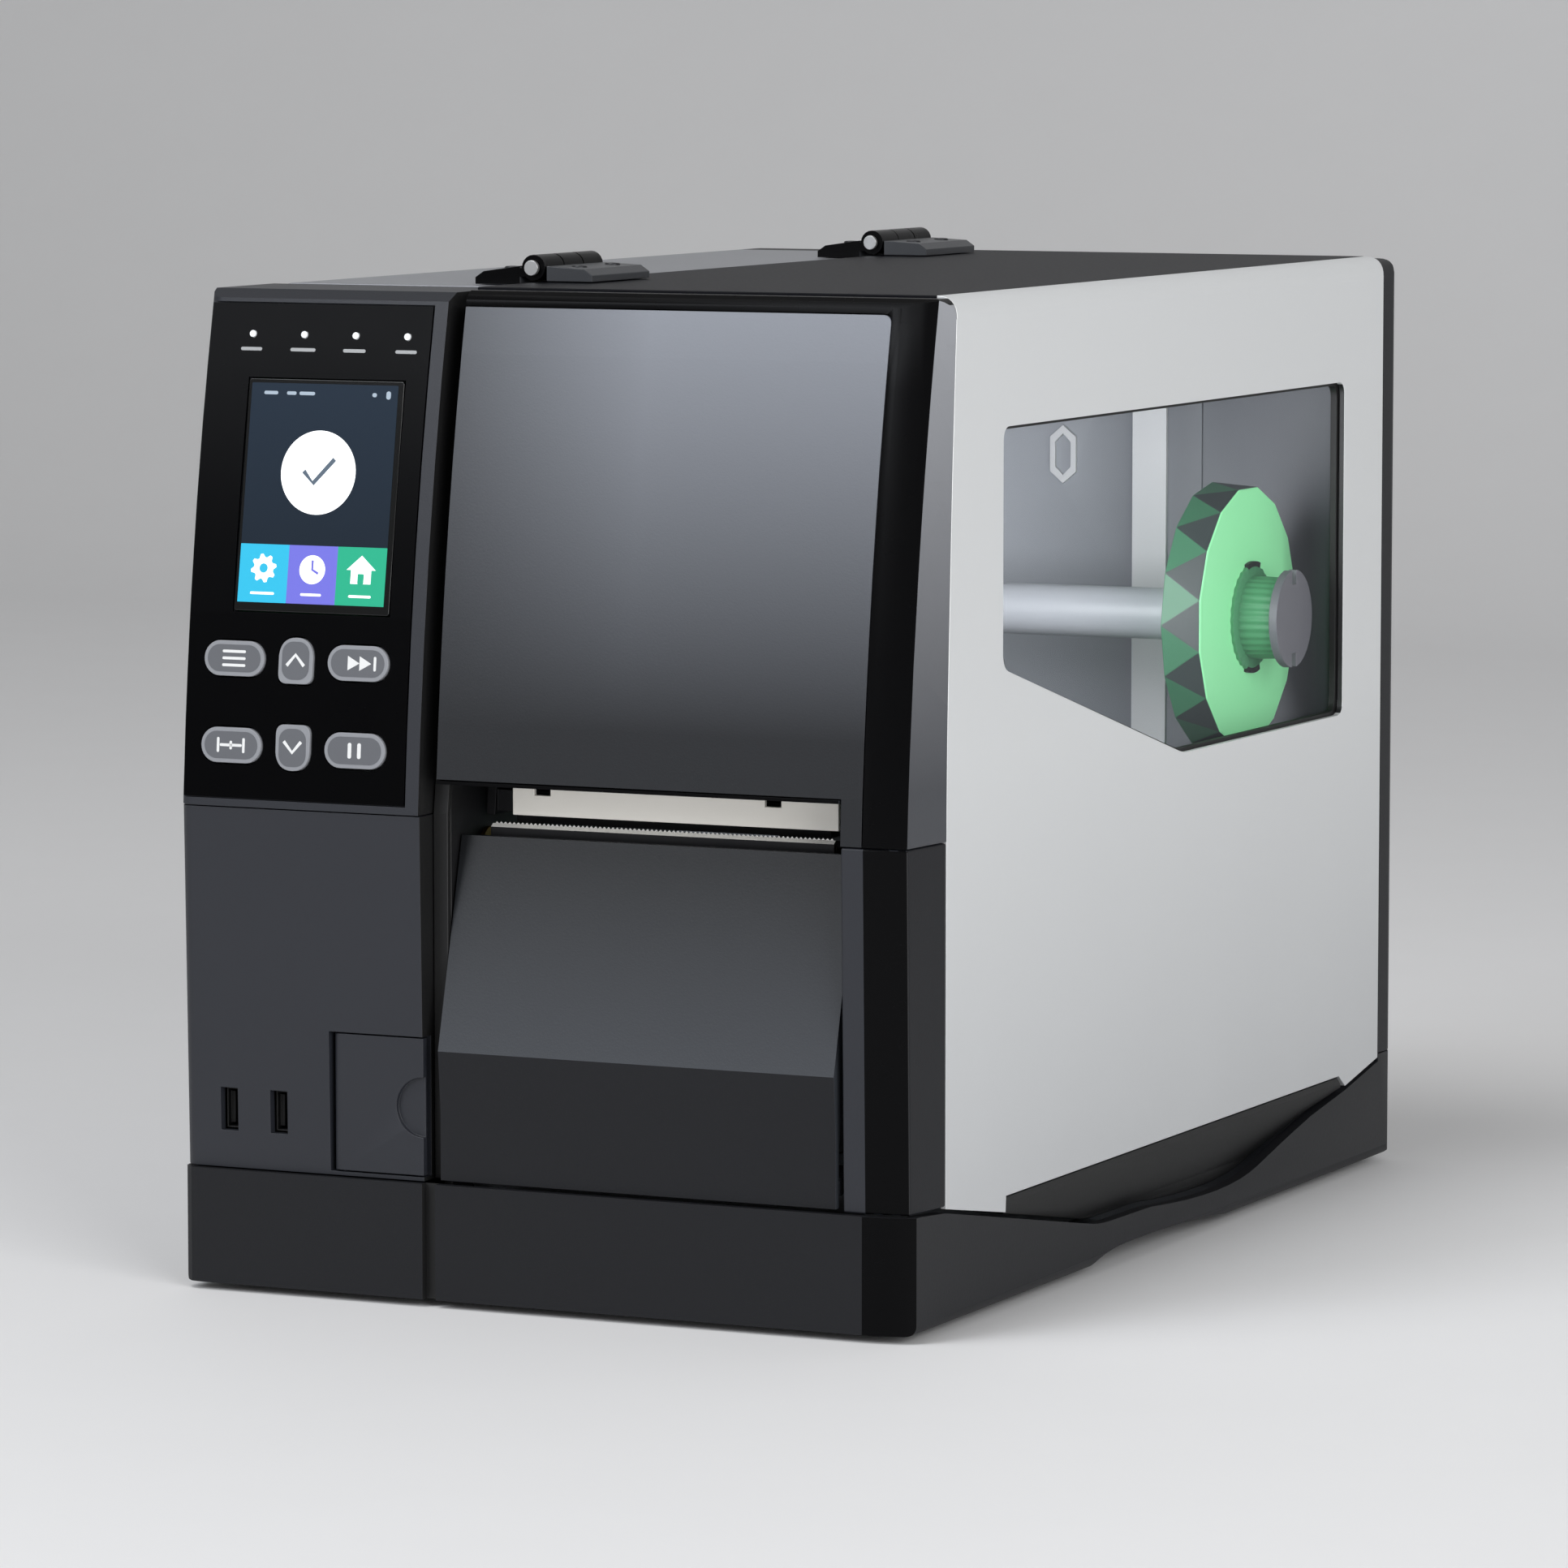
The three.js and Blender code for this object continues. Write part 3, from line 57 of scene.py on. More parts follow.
# ------------------------------------------------------------------ where things are
# The frame's origin is under the middle of the cabinet; "depth" runs back from the front plane and
# "level" runs up from the underside of the base, both in millimetres.
FOOT = 2.5  # from the ground to the underside of the base
DEPTH_0 = -210.0  # the frame's y at the front plane
BELT = 154.0  # level above which the front leans back
HINGE_DEPTHS = (("front", 74.0), ("rear", 337.0))  # where each hinge begins
GUIDE_AXIS = (0, 345.0, 196.0)  # a point on the axis of the media hanger
GUIDE_BACK, GUIDE_FACE, GUIDE_END = 88.0, 102.0, 115.3  # x of the dish's rims and the hub's end
SCREEN_X, SCREEN_LEVEL, SCREEN_LIFT = -82.7, 253.0, -0.5  # middle of the screen, and its lift
KEY_COLUMNS, KEY_ROWS = (-109.2, -87.0, -64.7), (201.0, 173.5)  # x and levels of the keys
LIGHT_COLUMNS, CAPTION_LEVEL = (-110.9, -92.3, -73.8, -55.3), 303.6  # x of the status lights
TEETH_FROM, TEETH_TO, TEETH_DEPTH, TEETH_LEVEL = -27.4, 90.9, 25.0, 149.9  # the tear edge

# How the frame's own solids are merged, flattened and rounded.
MERGE = 2e-6  # metres between points that become one
FLAT_ANGLE = 0.8  # degrees between faces that become one
SHARP_ANGLE = 28  # degrees above which an edge is rounded and stays sharp in the shading
EDGE_STEPS = 3  # segments of a rounded edge


def front_depth(level):
    """Depth of the leaning upper front at a level: 0.06 t + 0.0005 t^2, t above the belt line."""
    t = np.maximum(0.0, np.asarray(level, float) - BELT)
    return 0.06 * t + 0.0005 * t * t


def front_tilt(level):
    """Angle by which the upper front leans back at a level, in radians."""
    return math.atan(0.06 + 0.001 * max(0.0, level - BELT))


def place(x, depth, level):
    """A point of the machine, given in x, depth and level in millimetres, in the frame's metres."""
    parts = np.broadcast_arrays(x, np.asarray(depth) + DEPTH_0, np.asarray(level) + FOOT)
    return np.stack(parts, -1) * MM


# ------------------------------------------------------------------ meshes
def new_object(name, points, faces, material, smooth=None):
    """A mesh object at the origin, from points in metres and a list of faces."""
    mesh = bpy.data.meshes.new(name)
    faces = [list(map(int, face)) for face in faces]
    mesh.from_pydata(np.asarray(points, float).reshape(-1, 3).tolist(), [], faces)
    mesh.validate()
    if smooth is not None:
        mesh.shade_smooth()
        mesh.set_sharp_from_angle(angle=math.radians(smooth))
    piece = bpy.data.objects.new(name, mesh)
    bpy.context.scene.collection.objects.link(piece)
    mesh.materials.append(material)
    return piece


def mend(piece, smooth=None):
    """Merges doubles and turns every face outwards."""
    work = bmesh.new()
    work.from_mesh(piece.data)
    bmesh.ops.remove_doubles(work, verts=work.verts, dist=1e-6)
    bmesh.ops.recalc_face_normals(work, faces=work.faces)
    work.to_mesh(piece.data)
    work.free()
    if smooth is not None:
        piece.data.shade_smooth()
        piece.data.set_sharp_from_angle(angle=math.radians(smooth))
    return piece


def grid_faces(rows, columns, wrap_rows=False, wrap_columns=False, first=0):
    """Quads between neighbours on a rows by columns grid of points, wrapped round where asked."""
    r = np.arange(rows if wrap_rows else rows - 1)
    c = np.arange(columns if wrap_columns else columns - 1)
    i, j = np.meshgrid(r, c, indexing="ij")
    i2, j2 = (i + 1) % rows, (j + 1) % columns
    quads = np.stack([i * columns + j, i * columns + j2, i2 * columns + j2, i2 * columns + j], -1)
    return (quads.reshape(-1, 4) + first).tolist()


def prism(outline, low, high, carry):
    """A closed prism: the outline's (u, v) points at heights low and high, carried into place.

    Points are (u_i, v_i, low) and (u_i, v_i, high); walls join them and each end is one face.
    """
    outline = np.asarray(outline, float)
    count = len(outline)
    ends = [np.column_stack([outline, np.full(count, h)]) for h in (low, high)]
    points = carry(np.vstack(ends))
    walls = grid_faces(2, count, wrap_columns=True)
    caps = [list(range(count))[::-1], list(range(count, 2 * count))]
    return points, walls + caps


def join_parts(parts):
    """Puts several (points, faces) lists in one, keeping each part's own points."""
    points, faces, first = [], [], 0
    for p, f in parts:
        p = np.asarray(p, float).reshape(-1, 3)
        points.append(p)
        faces += [[i + first for i in face] for face in f]
        first += len(p)
    return np.vstack(points), faces


def on_front(x, level, lift=0.0):
    """Carries (u, v, w) in mm to the leaning front: u across, v up its slope, w outwards."""
    tilt = front_tilt(level)

    def carry(p):
        u, v, w = p[:, 0], p[:, 1], p[:, 2] + lift
        depth = front_depth(level) + v * math.sin(tilt) - w * math.cos(tilt)
        return place(x + u, depth, level + v * math.cos(tilt) + w * math.sin(tilt))

    return carry


def turned(profile, axis, centre, sides=32, start=0.0):
    """A turned part: the profile's (along, radius) points swept round an axis.

    Point (i, k) is centre + along_i on the axis + radius_i (cos a_k, sin a_k) across it. A radius
    of zero makes a pole, which mend() closes.
    """
    profile = np.asarray(profile, float)
    a = start + np.linspace(0, 2 * math.pi, sides, endpoint=False)
    along = np.repeat(profile[:, 0][:, None], sides, 1)
    p, q = profile[:, 1][:, None] * np.cos(a), profile[:, 1][:, None] * np.sin(a)
    x, depth, level = centre
    if axis == "x":
        points = place(x + along, depth + p, level + q)
    elif axis == "y":
        points = place(x + p, depth + along, level + q)
    else:
        points = place(x + p, depth + q, level + along)
    return points.reshape(-1, 3), grid_faces(len(profile), sides, wrap_columns=True)


def rounded_outline(width, height, radius, steps=6):
    """A rectangle with quarter-circle corners, centred on (0, 0), as (u, v) points."""
    a = np.linspace(0, math.pi / 2, steps)
    arcs = []
    for k, (sx, sy) in enumerate([(1, 1), (-1, 1), (-1, -1), (1, -1)]):
        centre = np.array([sx * (width / 2 - radius), sy * (height / 2 - radius)])
        turn = a + k * math.pi / 2
        arcs.append(centre + radius * np.column_stack([np.cos(turn), np.sin(turn)]))
    return np.vstack(arcs)


def disc_outline(radius, sides):
    """A circle of that radius as (u, v) points: radius (cos a_k, sin a_k)."""
    a = np.linspace(0, 2 * math.pi, sides, endpoint=False)
    return radius * np.column_stack([np.cos(a), np.sin(a)])


def stroke_outline(points, width):
    """The outline of a bent line of that width: each point moved half the width to either side."""
    p = np.asarray(points, float)
    t = np.gradient(p, axis=0)
    t /= np.linalg.norm(t, axis=1)[:, None]
    n = np.column_stack([-t[:, 1], t[:, 0]]) * width / 2
    return np.vstack([p - n, (p + n)[::-1]])


def paint_areas(mesh, areas):
    """Gives faces another finish.

    Each area is (finish, test); the test gets the x, depth, level and normal of every face.
    """
    count = len(mesh.polygons)
    centre, normal = np.empty(3 * count), np.empty(3 * count)
    mesh.polygons.foreach_get("center", centre)
    mesh.polygons.foreach_get("normal", normal)
    centre, normal = centre.reshape(-1, 3) / MM, normal.reshape(-1, 3)
    index = np.zeros(count, int)
    for k, (finish, test) in enumerate(areas):
        mesh.materials.append(MATERIALS[finish])
        index[test(centre[:, 0], centre[:, 1] - DEPTH_0, centre[:, 2] - FOOT, normal)] = k + 1
    mesh.polygons.foreach_set("material_index", index)


def finish_cad(node, material, edge, areas=()):
    """A finished part: the frame's own solid, merged, its edges rounded by "edge" mm."""
    source = frame["nodes"][node]
    work = bmesh.new()
    work.from_mesh(source.data)
    bmesh.ops.remove_doubles(work, verts=work.verts, dist=MERGE)
    bmesh.ops.dissolve_limit(work, angle_limit=math.radians(FLAT_ANGLE), verts=work.verts,
                             edges=work.edges)
    mesh = bpy.data.meshes.new(f"{node}_finished")
    work.to_mesh(mesh)
    work.free()
    mesh.materials.clear()
    mesh.materials.append(material)
    paint_areas(mesh, areas)
    piece = bpy.data.objects.new(f"{node}_finished", mesh)
    bpy.context.scene.collection.objects.link(piece)
    if edge:
        rounding = piece.modifiers.new("rounded edges", "BEVEL")
        rounding.width = edge * MM
        rounding.segments = EDGE_STEPS
        rounding.limit_method = "ANGLE"
        rounding.angle_limit = math.radians(SHARP_ANGLE)
        rounding.harden_normals = True
        rounding.use_clamp_overlap = True
    mesh.shade_smooth()
    mesh.set_sharp_from_angle(angle=math.radians(SHARP_ANGLE))
    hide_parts(node)
    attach(piece, BODY_OF[node])
    return piece


def ride_with(piece, node):
    """The piece moves with the node's body."""
    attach(piece, BODY_OF[node])
    return piece


def printed(name, outlines, x, level, low, high, finish, node):
    """Flat marks on the leaning front: each outline is a thin prism from low to high above it."""
    parts = [prism(outline, low, high, on_front(x, level)) for outline in outlines]
    points, faces = join_parts(parts)
    return ride_with(mend(new_object(name, points, faces, MATERIALS[finish])), node)


def shift(outline, u, v):
    """The outline moved by (u, v)."""
    return np.asarray(outline, float) + (u, v)


def bar_outline(width, height, u=0.0, v=0.0):
    """A bar with nearly round ends about (u, v): the corners' radius is 0.45 of the short side."""
    return shift(rounded_outline(width, height, min(width, height) * 0.45, 4), u, v)


def gear_outline(teeth, tip, root):
    """A cog: the radius is tip on a tooth and root between teeth, four points to a tooth."""
    k = np.arange(teeth * 4)
    a = 2 * math.pi * (k + 0.5) / (teeth * 4)
    r = np.where(k % 4 < 2, tip, root)
    return np.column_stack([r * np.cos(a), r * np.sin(a)])


def screws(name, places, axis, way, radius, finish, node):
    """Socket screw heads at several places, standing out along the axis, one way or the other.

    The profile's (along, radius) points are in mm along the axis and in parts of the radius across.
    """
    profile = np.array([(-0.5, 0.0), (-0.5, 1.0), (0.55, 1.0), (0.85, 0.9), (0.95, 0.7),
                        (0.95, 0.42), (0.35, 0.4), (0.35, 0.0)]) * (way, radius)
    points, faces = join_parts([turned(profile, axis, centre, 20) for centre in places])
    return ride_with(mend(new_object(name, points, faces, MATERIALS[finish]), 35), node)


# ------------------------------------------------------------------ materials
def linear(code):
    """An sRGB hex colour as linear RGBA.

    Each channel c becomes c / 12.92 up to 0.04045, else ((c + 0.055) / 1.055)^2.4.
    """
    c = np.array([int(code[i:i + 2], 16) for i in (1, 3, 5)]) / 255
    rgb = np.where(c <= 0.04045, c / 12.92, ((c + 0.055) / 1.055) ** 2.4)
    return (*rgb.tolist(), 1.0)


def add_node(tree, kind, settings=None, **inputs):
    """Adds a shader node. Settings are its properties; inputs are values, or sockets to link.

    An input's key is its socket's name, with "_" for a space, or i0, i1 ... for its number.
    """
    made = tree.nodes.new(kind)
    for key, value in (settings or {}).items():
        setattr(made, key, value)
    for key, value in inputs.items():
        numbered = key[0] == "i" and key[1:].isdigit()
        socket = made.inputs[int(key[1:]) if numbered else key.replace("_", " ")]
        if isinstance(value, bpy.types.NodeSocket):
            tree.links.new(value, socket)
        else:
            socket.default_value = value
    return made


def shader(name, **values):
    """A new material with one Principled shader whose own sockets hold the uniform values."""
    material = bpy.data.materials.new(name)
    material.use_nodes = True
    tree = material.node_tree
    tree.nodes.clear()
    surface = add_node(tree, "ShaderNodeBsdfPrincipled")
    for key, value in values.items():
        surface.inputs[key.replace("_", " ")].default_value = value
    output = add_node(tree, "ShaderNodeOutputMaterial")
    tree.links.new(surface.outputs[0], output.inputs[0])
    return material, tree, surface


def finish_surface(name, colour, rough, metallic=0.0, grain=0.5, height=0.02, mottle=0.06,
                   spread=0.08, cloud=60.0, stretch=(1, 1, 1), painted_light=None, **values):
    """A moulded, painted or machined surface.

    Colour is the base hex c, mixed by a noise of patches "cloud" mm across from c (1 - mottle) to
    c (1 + mottle). "grain" is the size of the surface texture and "height" its depth, both in mm.
    Roughness runs from rough - spread / 2 to rough + spread / 2 with the same texture.
    "painted_light" is (hex, levels, across): painted light or shade, a second colour whose share is
    the product of two ramps from 0 to 1, one between two levels and one between two x, in mm;
    either may be None.
    """
    material, tree, surface = shader(name, Metallic=metallic, **values)
    where = add_node(tree, "ShaderNodeTexCoord").outputs["Object"]
    where = add_node(tree, "ShaderNodeMapping", Vector=where, Scale=stretch).outputs[0]
    patches = add_node(tree, "ShaderNodeTexNoise", Vector=where, Scale=1000 / cloud,
                       Detail=3.0).outputs["Fac"]
    base = np.array(linear(colour))
    low, high = base * (1 - mottle), np.minimum(base * (1 + mottle), 1)
    tint = add_node(tree, "ShaderNodeMix", {"data_type": "RGBA"}, i0=patches)
    tint.inputs[6].default_value = (*low[:3], 1)
    tint.inputs[7].default_value = (*high[:3], 1)
    # Painted light or shade: a second colour mixed in by level and x, lighter where light falls and
    # darker where it does not.
    if painted_light:
        part = add_node(tree, "ShaderNodeSeparateXYZ", Vector=where).outputs
        share = add_node(tree, "ShaderNodeValue").outputs[0]
        share.default_value = 1.0
        for axis, ends, zero in (("Z", painted_light[1], FOOT), ("X", painted_light[2], 0.0)):
            if ends:
                start, end = ((v + zero) * MM for v in ends)
                ramp = add_node(tree, "ShaderNodeMapRange", Value=part[axis], From_Min=start,
                                From_Max=end).outputs[0]
                share = add_node(tree, "ShaderNodeMath", {"operation": "MULTIPLY"}, i0=share,
                                 i1=ramp).outputs[0]
        tint = add_node(tree, "ShaderNodeMix", {"data_type": "RGBA"}, i0=share, i6=tint.outputs[2])
        tint.inputs[7].default_value = linear(painted_light[0])
    tree.links.new(tint.outputs[2], surface.inputs["Base Color"])
    texture = add_node(tree, "ShaderNodeTexNoise", Vector=where, Scale=1000 / grain, Detail=2.0,
                       Roughness=0.6)
    gloss = add_node(tree, "ShaderNodeMapRange", Value=texture.outputs["Fac"],
                     To_Min=rough - spread / 2, To_Max=rough + spread / 2).outputs[0]
    tree.links.new(gloss, surface.inputs["Roughness"])
    bump = add_node(tree, "ShaderNodeBump", Height=texture.outputs["Fac"], Distance=height * MM,
                    Strength=1.0)
    tree.links.new(bump.outputs[0], surface.inputs["Normal"])
    return material


MATERIALS = {}


def make_materials(look):
    """Every finish of the machine, by name."""
    m = MATERIALS
    # Injection-moulded ABS with a fine spark-eroded texture: broad soft highlights, a faint grain.
    m["abs"] = finish_surface("textured moulded ABS charcoal", look.charcoal, 0.44, grain=0.7,
                              height=0.03, Specular_IOR_Level=0.4)
    # Painted light: the door's front panel lightens from #16181c towards #7b7f87 at its top and to
    # the right.
    m["abs_panel"] = finish_surface("textured moulded ABS panel", "#16181c", 0.42, grain=0.7,
                                    height=0.03, painted_light=("#7b7f87", (183, 315), (-65, 30)),
                                    Specular_IOR_Level=0.4)
    # Painted shade: the label door's face darkens towards its top, from level 80 to 144 mm.
    m["abs_label"] = finish_surface("textured moulded ABS label door", "#32353a", 0.44, grain=0.7,
                                    height=0.03, painted_light=("#0f1114", (80, 144), None),
                                    Specular_IOR_Level=0.35)
    # The same moulding in the skirt, a shade darker.
    m["abs_base"] = finish_surface("textured moulded ABS base", look.base, 0.5, grain=0.7,
                                   height=0.03, Specular_IOR_Level=0.3)
    # Polished ABS, deep black with faint reflections, on the door's front frame and the hinge
    # barrels. The black strip down the front right corner, on that frame, the base and the right
    # column, is painted dark reflection of a rounded corner.
    m["gloss"] = finish_surface("polished ABS black and painted corner reflection", look.gloss_black, 0.28, grain=9,
                                height=0.004, spread=0.05, Specular_IOR_Level=0.08)
    # Screen-printed acrylic overlay: flat, glossy, black from behind.
    m["overlay"] = finish_surface("cast acrylic overlay", "#030304", 0.28, grain=14, height=0.003,
                                  spread=0.04, Specular_IOR_Level=0.05)
    # Powder coat on steel sheet: silver flake under a fine orange peel. Painted shade: it darkens
    # from level 175 down to level 40.
    m["silver"] = finish_surface("powder-coated steel silver", "#c5c7c9", 0.4, metallic=0.35,
                                 grain=0.8, height=0.018, mottle=0.03,
                                 painted_light=(look.silver, (40, 175), None))
    # The same powder coat in grey, on the electronics cover.
    m["cover"] = finish_surface("powder-coated steel grey", look.cover, 0.42, metallic=0.3,
                                grain=0.8, height=0.018, mottle=0.04)
    # Semi-gloss paint on the door's top: smoother, with a clear edge to its reflections.
    m["door_top"] = finish_surface("semi-gloss painted steel", look.door_top, 0.5, grain=1.6,
                                   height=0.012, mottle=0.05, Specular_IOR_Level=0.12)
    # Zinc-plated steel: a cool dull sheen with cloudy patches.
    m["zinc"] = finish_surface("zinc-plated steel", "#7c7f84", 0.42, metallic=0.85, grain=2.5,
                               height=0.01, mottle=0.12, cloud=18)
    # Drawn and ground steel: fine lines along the bar.
    m["steel"] = finish_surface("ground steel", "#c9c8c4", 0.26, metallic=1.0, grain=0.8,
                                height=0.006, stretch=(0.05, 1, 1))
    # Satin-rolled aluminium: a bright, soft sheet over the print head.
    m["head_metal"] = finish_surface("satin aluminium sheet", "#fbf6ee", 0.45, metallic=0.25,
                                     grain=1.0, height=0.01, stretch=(0.1, 1, 1))
    # Die-cast aluminium, blackened: a dull grey metal with cloudy patches.
    m["die_cast"] = finish_surface("blackened die-cast aluminium", "#2a2a2c", 0.5, metallic=0.8,
                                   grain=1.2, height=0.03, mottle=0.1)
    # Vulcanised rubber: dull and nearly black, with a bloom.
    m["rubber"] = finish_surface("vulcanised rubber", "#1a1a1c", 0.75, grain=1.1, height=0.03,
                                 mottle=0.15)
    # Moulded ABS with an open satin texture, in light grey. Painted shade: it darkens to the right
    # from x -30 to 55 mm, and lining_shaded is the same grey in painted shade, right of the rib.
    m["lining"] = finish_surface("moulded ABS bay lining", look.lining, 0.5, grain=0.9, height=0.01,
                                 painted_light=(look.lining_shaded, None, (-30, 55)))
    m["lining_shaded"] = finish_surface("moulded ABS bay lining in painted shade", look.lining_shaded, 0.5,
                                      grain=0.9, height=0.01)
    # The side faces of the front mouldings: the same ABS with a smoother, more open texture.
    # Painted light: they lighten towards the top, from level 168 to 322 mm.
    m["abs_side"] = finish_surface("satin moulded ABS charcoal", "#3a3c41", 0.4, grain=0.7,
                                   height=0.02, painted_light=(look.side, (168, 322), None))
    # Moulded ABS key tops, lightly textured.
    m["key_face"] = finish_surface("key face", look.key_face, 0.5, grain=0.8, height=0.012)
    # Die-cast zinc under a thin coat of paint.
    m["hinge"] = finish_surface("painted die-cast hinge", "#3c3e42", 0.4, metallic=0.3, grain=1.0,
                                height=0.015)
    # Ground steel on the tear bar's edge, blackened steel below it.
    m["tear_edge"] = finish_surface("ground steel edge", "#f6f4ee", 0.4, metallic=0.3, grain=0.8,
                                    height=0.004, stretch=(0.05, 1, 1))
    m["tear_dark"] = finish_surface("blackened steel", "#1c1c1e", 0.4, metallic=0.6, grain=0.8,
                                    height=0.01)
    # Moulded ABS in light grey on the rib and the hexagon mark; on the rib it is a painted
    # reflection, a bright streak mirrored in the window.
    m["rib"] = finish_surface("moulded ABS light grey, painted reflection on the rib", "#c2c2c5", 0.42, grain=0.9, height=0.01)
    # Wet-painted steel sheet, matt.
    m["painted_black"] = finish_surface("black painted steel", "#0e0e10", 0.5, grain=0.9,
                                        height=0.012)
    # Compression-moulded silicone: soft and dull.
    m["key"] = finish_surface("moulded silicone key", look.key, 0.5, grain=0.8, height=0.015)
    # Through-coloured green ABS with a painted glow: it emits a little of its own colour, so the
    # guide and the head lever look strongly lit.
    m["guide"] = finish_surface("moulded ABS green with painted glow", look.guide, 0.42, grain=1.0, height=0.015,
                                Emission_Color=linear(look.guide), Emission_Strength=0.3)
    # Nickel plate over turned steel.
    m["pin"] = finish_surface("nickel-plated pin", "#c4c5c5", 0.35, metallic=0.8, grain=0.8,
                              height=0.005)
    # The same green ABS, darker and without the painted glow, on the hub; on the flank's folds, in
    # two darker steps, it is painted shade.
    m["guide_hub"] = finish_surface("moulded ABS hub green", "#4f9a6c", 0.45, grain=1.0,
                                    height=0.015)
    m["guide_fold_shade"] = finish_surface("moulded ABS green in deep painted shade", "#343d3c", 0.4, grain=1.0,
                                     height=0.015)
    m["guide_fold_half_shade"] = finish_surface("moulded ABS green in half painted shade", "#3a7052", 0.42, grain=1.0,
                                    height=0.015)
    # Moulded ABS of the hanger: a textured end cap on a smoother bar. The bar is a lighter grey
    # than the cap: a painted highlight, the bright band along the bar.
    m["cap"] = finish_surface("moulded ABS end cap", "#67676e", 0.48, grain=0.9, height=0.02)
    m["bar"] = finish_surface("satin moulded ABS bar", "#a2a5ab", 0.36, grain=0.9, height=0.01)
    # Screen-printed ink, a thin matt film.
    m["ink_dim"] = finish_surface("grey printed ink", "#9a9c9e", 0.5, grain=0.6, height=0.005)
    m["ink"] = finish_surface("white printed ink", "#dcdddd", 0.5, grain=0.6, height=0.005)
    # Steel blackened by oxide, as cover screws are.
    m["screw"] = finish_surface("blackened screw steel", "#3c3d40", 0.35, metallic=0.8, grain=0.8,
                                height=0.008)
    # Cover glass, printed black on its back round the lit area.
    m["dark_glass"] = finish_surface("screen cover glass black", "#040506", 0.08, grain=14,
                                     height=0.002, spread=0.03)
    # Glass-fibre board under green solder mask.
    m["board"] = finish_surface("solder mask green", "#1d5a3a", 0.35, grain=2.0, height=0.02,
                                mottle=0.12)
    # Turned brass of the bearings and the pinion.
    m["brass"] = finish_surface("turned brass", "#b5914d", 0.3, metallic=1.0, grain=0.7,
                                height=0.008)
    # The grip under the door: the same ABS, near black and a little smoother: painted shade of the
    # finger recess under the door.
    m["grip"] = finish_surface("moulded ABS grip", "#08090a", 0.4, grain=0.8, height=0.02,
                               Specular_IOR_Level=0.2)
    # Near black: on the door liner, the seam strip and the ports, and as painted shade on the walls
    # of the front groove, the slot in the base and the hub's slots.
    m["dark"] = finish_surface("black moulding and painted shade", "#0a0a0b", 0.6, grain=1.0, height=0.02)
    # Clear polycarbonate in the door, and the lit areas of the screen and the lamps.
    m["glass"] = window_sheet(look.window_tint)
    m["screen"] = lit_panel("backlit screen navy", "#16222f", "#0e1822", 0.35)
    for name, code in (
            ("cyan", "#2a9bbb"), ("violet", "#5f5fb4"), ("green", "#239070"),
            ("white", "#f5f6f7"), ("grey", "#8b97a3"), ("slate", "#4c5763")):
        m[f"screen_{name}"] = lit_panel(f"backlit screen {name}", code, code, 0.5)
    m["lamp"] = lit_panel("status lamp white", "#d4d7da", "#d4d7da", 0.3)


def window_sheet(tint):
    """Clear polycarbonate with a grey tint: see-through, sharp reflections, faint wipe marks."""
    material, tree, surface = shader("tinted polycarbonate sheet", Metallic=0.0, IOR=1.5,
                                     Alpha=0.06)
    where = add_node(tree, "ShaderNodeTexCoord").outputs["Object"]
    marks = add_node(tree, "ShaderNodeTexNoise", Vector=where, Scale=24.0,
                     Detail=4.0).outputs["Fac"]
    gloss = add_node(tree, "ShaderNodeMapRange", Value=marks, To_Min=0.03, To_Max=0.1).outputs[0]
    tree.links.new(gloss, surface.inputs["Roughness"])
    base = linear(tint)
    shade = add_node(tree, "ShaderNodeMix", {"data_type": "RGBA"}, i0=marks)
    shade.inputs[6].default_value = base
    shade.inputs[7].default_value = tuple(0.9 * v for v in base[:3]) + (1,)
    tree.links.new(shade.outputs[2], surface.inputs["Base Color"])
    return material


def lit_panel(name, upper, lower, strength):
    """A backlit area: its colour runs from lower to upper between 0.22 and 0.29 m, and it glows."""
    material, tree, surface = shader(name, Roughness=0.35, Specular_IOR_Level=0.12,
                                     Emission_Strength=strength)
    where = add_node(tree, "ShaderNodeTexCoord").outputs["Object"]
    height = add_node(tree, "ShaderNodeSeparateXYZ", Vector=where).outputs["Z"]
    rise = add_node(tree, "ShaderNodeMapRange", Value=height, From_Min=0.22,
                    From_Max=0.29).outputs[0]
    blend = add_node(tree, "ShaderNodeMix", {"data_type": "RGBA"}, i0=rise)
    blend.inputs[6].default_value = linear(lower)
    blend.inputs[7].default_value = linear(upper)
    tree.links.new(blend.outputs[2], surface.inputs["Base Color"])
    tree.links.new(blend.outputs[2], surface.inputs["Emission Color"])
    return material


